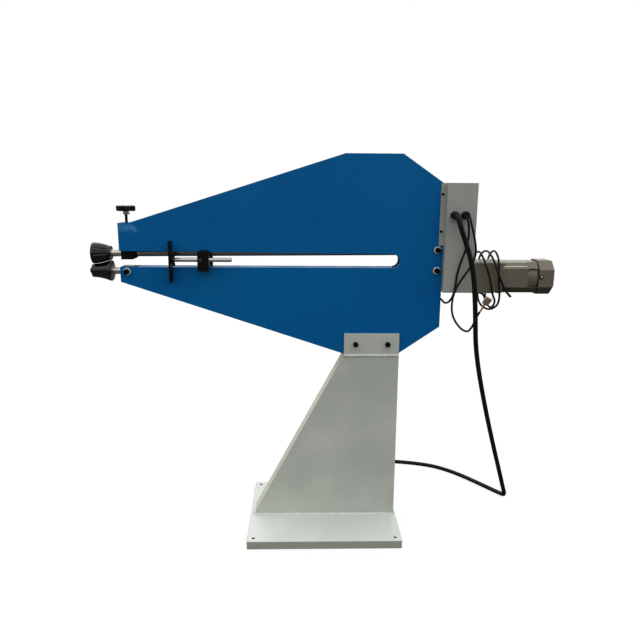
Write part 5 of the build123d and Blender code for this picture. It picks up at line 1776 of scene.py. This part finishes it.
@dataclass
class Cords:
    """The mains cable with its put-away coil and plug, and the three leads."""

    mains_diameter: float = 16.0
    lead_diameter: float = 7.0
    coil_middle: Corner = (180.0, 335.0)
    coil_radius: float = 96.0
    coil_pitch: float = 17.5
    coil_layer: float = 17.2
    coil_turns: int = 3
    coil_steps: int = 16
    coil_return: float = 1.75
    coil_rise: Corner = (1.5, 2.0)
    coil_tail: Corner = (45.0, 90.0)
    sleeve_length: float = 42.0
    sleeve_radius: float = 10.2
    sleeve_taper: float = 1.7
    sleeve_groove: float = 0.5
    strap_place: Corner = (176.0, 256.5)
    strap_radius: float = 9.0
    strap_width: float = 8.0
    strap_thickness: float = 0.8
    strap_floor: float = 0.1
    strap_lean: float = 25.0
    strap_steps: int = 8
    buckle_low: Point = (174.5, 249.0, 32.6)
    buckle_high: Point = (185.5, 261.0, 37.0)
    plug_place: Point = (90.0, 425.0, 25.2)
    grip_ends: Corner = (2.0, 22.0)
    grip_radius: float = 15.0
    grip_groove: Corner = (0.25, 0.6)
    pin_count: int = 3
    pin_foot: float = 80.0
    pin_circle: float = 9.0
    connector_place: Point = (523.5, -86.0, 813.5)
    connector_tilt: float = 30.0
    wire_end: Point = (516.5, -86.0, 801.38)
    wire_radius: float = 1.5
    wire_shift: float = 1.7

    def build(self) -> None:
        """Lay every cord and fit the plug, the sleeve, the tie and the connector."""
        lower_half, *upper_half = self.connector()
        route = self.mains_points()
        mains = self.lay("mains_cord", route, self.mains_diameter, "mains_cable", "mains_coil")
        held = [self.plug(), self.sleeve(mains), self.tie()]
        route = self.frame_points()
        into_frame = self.lay("frame_cord", route, self.lead_diameter, "frame_lead")
        route = self.control_points()
        control = self.lay("control_cord", route, self.lead_diameter, "control_lead")
        held = [lower_half, *self.wires(route[-1])]
        route = self.motor_points()
        motor = self.lay("motor_cord", route, self.lead_diameter, "motor_lead")

    def lay(self, name: str, points: Sequence[Vector], diameter: float, *nodes: str) -> Piece:
        """Lay one cord on a smooth spline.

        Args:
            name: The cord's name.
            points: The control points of its route.
            diameter: Its diameter.
            *nodes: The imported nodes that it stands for.

        Returns:
            The cord.
        """
        cord = draw_curve(name, "NURBS", points, diameter / 2, 5)
        spline = cord.data.splines[0]
        spline.order_u = 3
        spline.use_endpoint_u = True
        spline.resolution_u = 8
        return fit(cord, "frame", "cable_rubber", CABLE_RUBBER, *nodes)

    def mains_points(self) -> list[Vector]:
        """Route the mains cable from its gland to the floor and into its coil.

        Returns:
            The control points.
        """
        hang = [
            mm(409.5, -80, 1086), mm(409.5, -96, 1086), mm(411.5, -110, 1076), mm(418, -113, 1052),
            mm(435, -107, 1012), mm(453, -101, 968), mm(467, -96, 922), mm(478, -90, 869), mm(486, -82, 812),
            mm(495.5, -68, 743), mm(507.5, -46, 655), mm(531.5, -20, 556), mm(563, 8, 448),
            mm(600.5, 40, 330), mm(643, 75, 204), mm(676, 101.5, 109), mm(691, 112, 63), mm(699, 118, 39.5),
            mm(703.6, 121.6, 26), mm(706, 124.8, 16.8), mm(705.6, 129.6, 11), mm(702.3, 136.2, 8.3),
            mm(697, 143.6, 8), mm(689.5, 153, 8), mm(676, 170.5, 8), mm(652, 203, 8), mm(620, 246, 8),
            mm(580.5, 296, 8), mm(536.5, 341, 8), mm(487, 378.5, 8), mm(427, 403, 8), mm(360, 419.5, 8),
            mm(290, 431, 8),
        ]
        count = self.coil_turns * self.coil_steps
        coil = [self.coil_point(step / self.coil_steps) for step in range(count + 1)]
        out = (self.coil_point(self.coil_turns) - self.coil_point(self.coil_turns - 0.01)).normalized()
        return hang + coil + [coil[-1] + out * length * MM for length in self.coil_tail]

    def coil_point(self, turn: float) -> Vector:
        """Return a point of the put-away coil.

        Args:
            turn: How many turns the cable has made.

        Returns:
            The point: in along the floor, then up a layer and out again.
        """
        x, y = self.coil_middle
        start, end = self.coil_rise
        inward = min(turn, self.coil_return) - max(turn - self.coil_return, 0)
        radius = self.coil_radius - self.coil_pitch * inward
        share = min(max((turn - start) / (end - start), 0), 1)
        angle = FULL_TURN * turn + math.pi / 2
        height = self.mains_diameter / 2 + self.coil_layer * (1 - math.cos(math.pi * share)) / 2
        return mm(x + radius * math.cos(angle), y + radius * math.sin(angle), height)

    def frame_points(self) -> list[Vector]:
        """Route the lead that goes into the frame.

        Returns:
            The control points.
        """
        return [
            mm(438.25, -80, 1086), mm(438.25, -97, 1086), mm(446, -98, 1064), mm(452, -86, 1036),
            mm(454, -73, 1006), mm(448, -65, 968), mm(436, -62, 933), mm(427, -63, 898), mm(424, -64, 862),
            mm(421, -61, 833), mm(412, -46, 803.5), mm(403, -23, 793.5), mm(398, -8, 797.5), mm(394, 0, 804),
            mm(389, 0, 806),
        ]

    def control_points(self) -> list[Vector]:
        """Route the lead that hangs down to the motor's connector.

        Returns:
            The control points.
        """
        return [
            mm(448.75, -80, 1086), mm(448.75, -97, 1086), mm(454, -99, 1062), mm(465, -90, 1034),
            mm(476, -78, 1004), mm(483, -70, 974), mm(480, -67, 946), mm(467, -68, 918), mm(448, -70, 892),
            mm(429, -75, 865), mm(417, -79, 839), mm(411, -82, 812), mm(410, -85, 782), mm(418, -87, 753),
            mm(441, -87, 722), mm(466, -86, 708.5), mm(481, -86, 727), mm(490.5, -86, 756.34),
            mm(502.5, -86, 777.13),
        ]

    def motor_points(self) -> list[Vector]:
        """Route the motor's lead, wound loosely round the gearbox.

        Returns:
            The control points.
        """
        return [
            mm(628, 59, 883.5), mm(629, 78, 881), mm(632, 90, 850), mm(630, 46, 819), mm(624, -20, 817),
            mm(607, -58, 823), mm(583, -74, 848), mm(556, -90, 897), mm(542, -66, 949), mm(538, 0, 973),
            mm(535, 70, 947), mm(532, 90, 883), mm(531, 56, 816), mm(529, 18, 784), mm(553, -8, 767),
            mm(577, -28, 785), mm(576, -50, 817), mm(566, -70, 853), mm(561, -73, 891), mm(561, -65, 948),
            mm(564, 0, 973), mm(567, 70, 947), mm(567, 96, 883), mm(564, 84, 822), mm(562, 44, 786),
            mm(565, 18, 771), mm(571, -4, 780), mm(570, -25, 804), mm(547, -64, 829), mm(531, -76, 891),
            mm(509, -65, 952), mm(513, 0, 969), mm(513, 70, 947), mm(515, 96, 883), mm(517, 80, 835),
            mm(518, 46, 820), mm(525, 0, 826), mm(527, -28, 825.5), mm(524, -56, 819.5), mm(525, -70, 816.1),
            mm(525, -79, 816.1),
        ]

    def sleeve(self, cord: Piece) -> Piece:
        """Fit the ribbed rubber sleeve where the mains cable leaves its gland.

        Args:
            cord: The mains cable.

        Returns:
            The sleeve.
        """
        bare = cord.data.copy()
        bare.bevel_depth = 0.0
        bare.use_fill_caps = False
        line = bpy.data.objects.new("sleeve_route", bare)
        route = [spot.co.copy() for spot in bpy.data.meshes.new_from_object(line).vertices]
        bpy.data.objects.remove(line)
        run = [route[0]]
        length = 0.0
        for here, there in zip(route, route[1:]):
            length += (there - here).length
            if length > self.sleeve_length * MM:
                break
            run.append(there)
        piece = draw_curve("mains_sleeve", "POLY", run, 1.0, 8)
        for index, spot in enumerate(piece.data.splines[0].points):
            groove = self.sleeve_groove if index % 3 == 2 else 0.0
            spot.radius = self.sleeve_radius - self.sleeve_taper * index / (len(run) - 1) - groove
        activate(piece)
        bpy.ops.object.convert(target="MESH")
        return fit(smooth(bpy.context.active_object, SOFT_ANGLE), "frame", "cable_rubber", CABLE_RUBBER)

    def tie(self) -> Piece:
        """Strap the put-away coil together where its turns lie closest.

        Returns:
            The strap with its buckle.
        """
        x, middle = self.strap_place
        apart, low, lean = self.coil_pitch / 2, self.mains_diameter / 2, self.strap_lean
        high = low + self.coil_layer
        bundle = [(-apart, low, -90, lean), (0.0, high, lean, 180 - lean), (apart, low, 180 - lean, 270)]
        loop = []
        for y, z, start, end in bundle:
            for step in range(self.strap_steps + 1):
                angle = math.radians(start + (end - start) * step / self.strap_steps)
                rise = max(z + self.strap_radius * math.sin(angle), self.strap_floor)
                loop.append(mm(x, middle - y + self.strap_radius * math.cos(angle), rise))
        strap = chain("coil_strap", [*loop, loop[0]])
        with editing(strap, "VERT"):
            bpy.ops.mesh.select_all(action="SELECT")
            extrude(mm(self.strap_width, 0, 0))
            close_seams()
        thick = strap.modifiers.new("thickness", "SOLIDIFY")
        thick.thickness = self.strap_thickness * MM
        thick.offset = -1.0
        apply_modifiers(strap)
        buckle = soft_block("coil_buckle", self.buckle_low, self.buckle_high, 1.2, 3)
        return fit(smooth(unite("coil_tie", [strap, buckle])), "frame", "cable_rubber", BLACK_PLASTIC)

    def plug(self) -> Piece:
        """Model the mains plug at the end of the cable.

        Returns:
            The plug.
        """
        back = Vector((-1, 0, 0))
        origin = mm(*self.plug_place)
        shell = [
            (22, 0), (22, 15.4), (22.6, 16.4), (24, 17.1), (40, 18.4), (41, 17.6), (44, 17.8), (45, 18.8),
            (52, 19.2), (53, 18.4), (56, 18.6), (57, 19.6), (73, 20), (74, 24.2), (75, 25.1), (79, 25.1),
            (80, 24.2), (80, 23), (116.6, 23), (117.4, 22.6), (118, 21.8), (118, 20.9), (80.5, 20.5),
            (80.5, 0),
        ]
        body = lathe("plug_body", origin, back, shell)
        low, high = (origin + back * end * MM for end in self.grip_ends)
        nut = rod("plug_nut", low, high, self.grip_radius)
        with editing(nut):
            pick_faces(nut, lambda normal, middle: abs(normal.x) < 0.5)
            margin, depth = self.grip_groove
            bpy.ops.mesh.inset(thickness=margin * MM, depth=-depth * MM, use_individual=True)
        cone = [(0, 0), (0, 10.5), (0.6, 11.2), (2.4, 13.6), (2.4, 0)]
        tip = lathe("plug_cone", origin, back, cone, 48)
        pin = [(0, 0), (0, 3), (23.5, 3), (25.4, 2.2), (26, 1), (26, 0)]
        pins = []
        for index in range(self.pin_count):
            angle = FULL_TURN * index / self.pin_count + math.pi / 2
            y, z = self.pin_circle * math.cos(angle), self.pin_circle * math.sin(angle)
            pins.append(lathe(f"plug_pin_{index}", origin + mm(-self.pin_foot, y, z), back, pin, 24))
        whole = smooth(unite("mains_pin_plug", [body, nut, tip, *pins]))
        return fit(whole, "frame", "black_plastic", BLACK_PLASTIC, "mains_plug")

    def connector(self) -> list[Piece]:
        """Model the motor's connector: two shells with a latch in painted shade, and a cream lip, the lit
        colour of the same nylon.

        Returns:
            The lower half, the upper half and its lip.
        """
        lean = Matrix.Rotation(math.radians(self.connector_tilt), 4, "Y")
        turn = Matrix.Translation(mm(*self.connector_place)) @ lean
        lower = [
            soft_block("lower_shell", (-9.4, -6.2, -14), (9.4, 6.2, -1), 1.2, 3),
            soft_block("lower_collar", (-10.4, -6.8, -4), (10.4, 6.8, 0.5), 0.8),
            soft_block("latch_tongue", (-3, -8, -10), (3, -6, 5), 0.7),
        ]
        upper = [
            soft_block("upper_shell", (-11, -7, -1), (11, 7, 12), 1.4, 3),
            soft_block("latch_bridge", (-5, -8.6, 3), (5, -6.5, 7), 0.7),
        ]
        lip = [
            soft_block("upper_lip", (-11.6, -7.5, 10), (11.6, 7.5, 14), 1.0, 3),
            soft_block("side_lip", (-12, -7.5, -2), (-10, -2, 12), 0.8),
        ]
        made = []
        for name, shells, finish, nodes in (
            ("connector_lower_half", lower, CONNECTOR_SHADED_CREAM, ()),
            ("connector_upper_half", upper, CONNECTOR_SHADED_CREAM, ("motor_connector",)),
            ("connector_lip", lip, CONNECTOR_CREAM, ()),
        ):
            half = smooth(unite(name, shells))
            half.data.transform(turn)
            made.append(fit(half, "frame", "connector_cream", finish, *nodes))
        return made

    def wires(self, start: Vector) -> list[Piece]:
        """Fit the two thin wires between the control lead and the connector.

        Args:
            start: The end of the control lead.

        Returns:
            The wires.
        """
        run = mm(*self.wire_end) - start
        aside = Vector((run.z, 0, -run.x)).normalized()
        r, length = self.wire_radius, run.length / MM
        outline = [
            (0, 0), (0, r), (length * 0.15, r), (length * 0.5, r * 1.06), (length * 0.84, r),
            (length * 0.86, r * 1.25), (length, r * 1.25), (length, 0),
        ]
        made = []
        for index, (side, finish) in enumerate(((-1, WIRE_TAN), (1, WIRE_RED)), 1):
            foot = start + aside * side * self.wire_shift * MM
            wire = lathe(f"control_wire_{index}", foot, run, outline, 16)
            made.append(fit(smooth(wire), "frame", "cable_rubber", finish))
        return made


@dataclass
class Studio:
    """The camera at the photograph's place, the floor and the sky: metres, and angles in degrees."""

    place: Point = (-0.066, -1.995, 1.168)
    yaw: float = 1.46
    pitch: float = 12.36
    roll: float = 0.41
    lens: float = 33.913
    sensor: float = 36.0
    floor_size: float = 30.0
    floor_colour: Point = (0.1, 0.1, 0.0975)
    floor_shown: float = 0.88
    floor_mirrored: float = 0.12
    floor_reach: Corner = (0.4, 2.6)
    sky_shown: float = 1.0
    horizon: float = 0.5
    zenith: float = 2.0
    dim: float = 0.08
    behind: float = 1.5
    behind_rise: Corner = (0.02, 0.12)
    behind_spread: Corner = (0.0, 0.4)
    overhead: float = 1.15
    overhead_rise: Corner = (0.02, 0.4)

    def build(self) -> None:
        """Set up the camera, the floor and the sky."""
        bpy.context.scene.view_settings.view_transform = "Standard"
        self.set_camera()
        self.lay_floor()
        self.light_sky()

    def set_camera(self) -> None:
        """Stand the camera where the photograph was taken."""
        data = bpy.data.cameras.new("photo_camera")
        data.lens = self.lens
        data.sensor_width = self.sensor
        camera = bpy.data.objects.new("photo_camera", data)
        bpy.context.scene.collection.objects.link(camera)
        yaw, pitch, roll = (math.radians(angle) for angle in (self.yaw, self.pitch, self.roll))
        ahead = Vector((math.sin(yaw) * math.cos(pitch), math.cos(yaw) * math.cos(pitch), -math.sin(pitch)))
        right = Vector((math.cos(yaw), -math.sin(yaw), 0.0))
        above = right.cross(ahead)
        turned_right = right * math.cos(roll) + above * math.sin(roll)
        turned_above = above * math.cos(roll) - right * math.sin(roll)
        axes = Matrix((turned_right, turned_above, -ahead)).transposed()
        camera.matrix_world = Matrix.Translation(self.place) @ axes.to_4x4()
        bpy.context.scene.camera = camera

    def lay_floor(self) -> None:
        """Lay a pale floor that shows white and keeps the machine's shadow."""
        deselect()
        bpy.ops.mesh.primitive_plane_add(size=self.floor_size, location=(0, 0, 0))
        floor = settle("studio_floor")
        material = bpy.data.materials.new("studio_floor_white")
        material.use_nodes = True
        material.node_tree.nodes.clear()
        board = NodeBoard(material.node_tree)
        mirrored = board.span(board.axis("Y"), 0.0, self.floor_mirrored, *self.floor_reach)
        glow = board.add("ShaderNodeEmission")
        board.join(board.by_ray(0.0, mirrored, self.floor_shown), glow.inputs["Strength"])
        matt = board.add("ShaderNodeBsdfDiffuse")
        matt.inputs["Color"].default_value = (*self.floor_colour, 1.0)
        both = board.add("ShaderNodeAddShader")
        output = board.add("ShaderNodeOutputMaterial")
        board.join(matt.outputs[0], both.inputs[0])
        board.join(glow.outputs[0], both.inputs[1])
        board.join(both.outputs[0], output.inputs["Surface"])
        floor.data.materials.append(material)

    def light_sky(self) -> None:
        """Light the machine from a soft sky, brightest overhead and dim on the operator's side."""
        world = bpy.data.worlds.new("studio_sky")
        bpy.context.scene.world = world
        world.use_nodes = True
        world.node_tree.nodes.clear()
        board = NodeBoard(world.node_tree, "Generated")
        rise = board.axis("Z")
        lit = board.span(rise, self.horizon, self.zenith, 0.0, 1.0)
        open_sky = board.span(rise, self.dim, self.behind, *self.behind_rise)
        spread = board.span(board.axis("Y"), 0.0, 1.0, *self.behind_spread)
        overhead = board.span(rise, self.dim, self.overhead, *self.overhead_rise)
        mirrored = board.math("MAXIMUM", board.math("MULTIPLY", open_sky, spread), overhead)
        light = board.add("ShaderNodeBackground")
        light.inputs["Color"].default_value = (1.0, 1.0, 1.0, 1.0)
        board.join(board.by_ray(lit, mirrored, self.sky_shown), light.inputs["Strength"])
        output = board.add("ShaderNodeOutputWorld")
        board.join(light.outputs[0], output.inputs["Surface"])


def main() -> None:
    """Build every sub-assembly in order."""
    logging.basicConfig(level=logging.INFO, format="%(name)s: %(message)s")
    Studio().build()
    Cords().build()
    Stand().build()
    FramePlates().build()
    ShaftDrive().build()
    DieHead().build()
    PressureScrew().build()
    SheetGuide().build()
    SwitchCabinet().build()
    GearMotor().build()


if __name__ == "__main__":
    main()
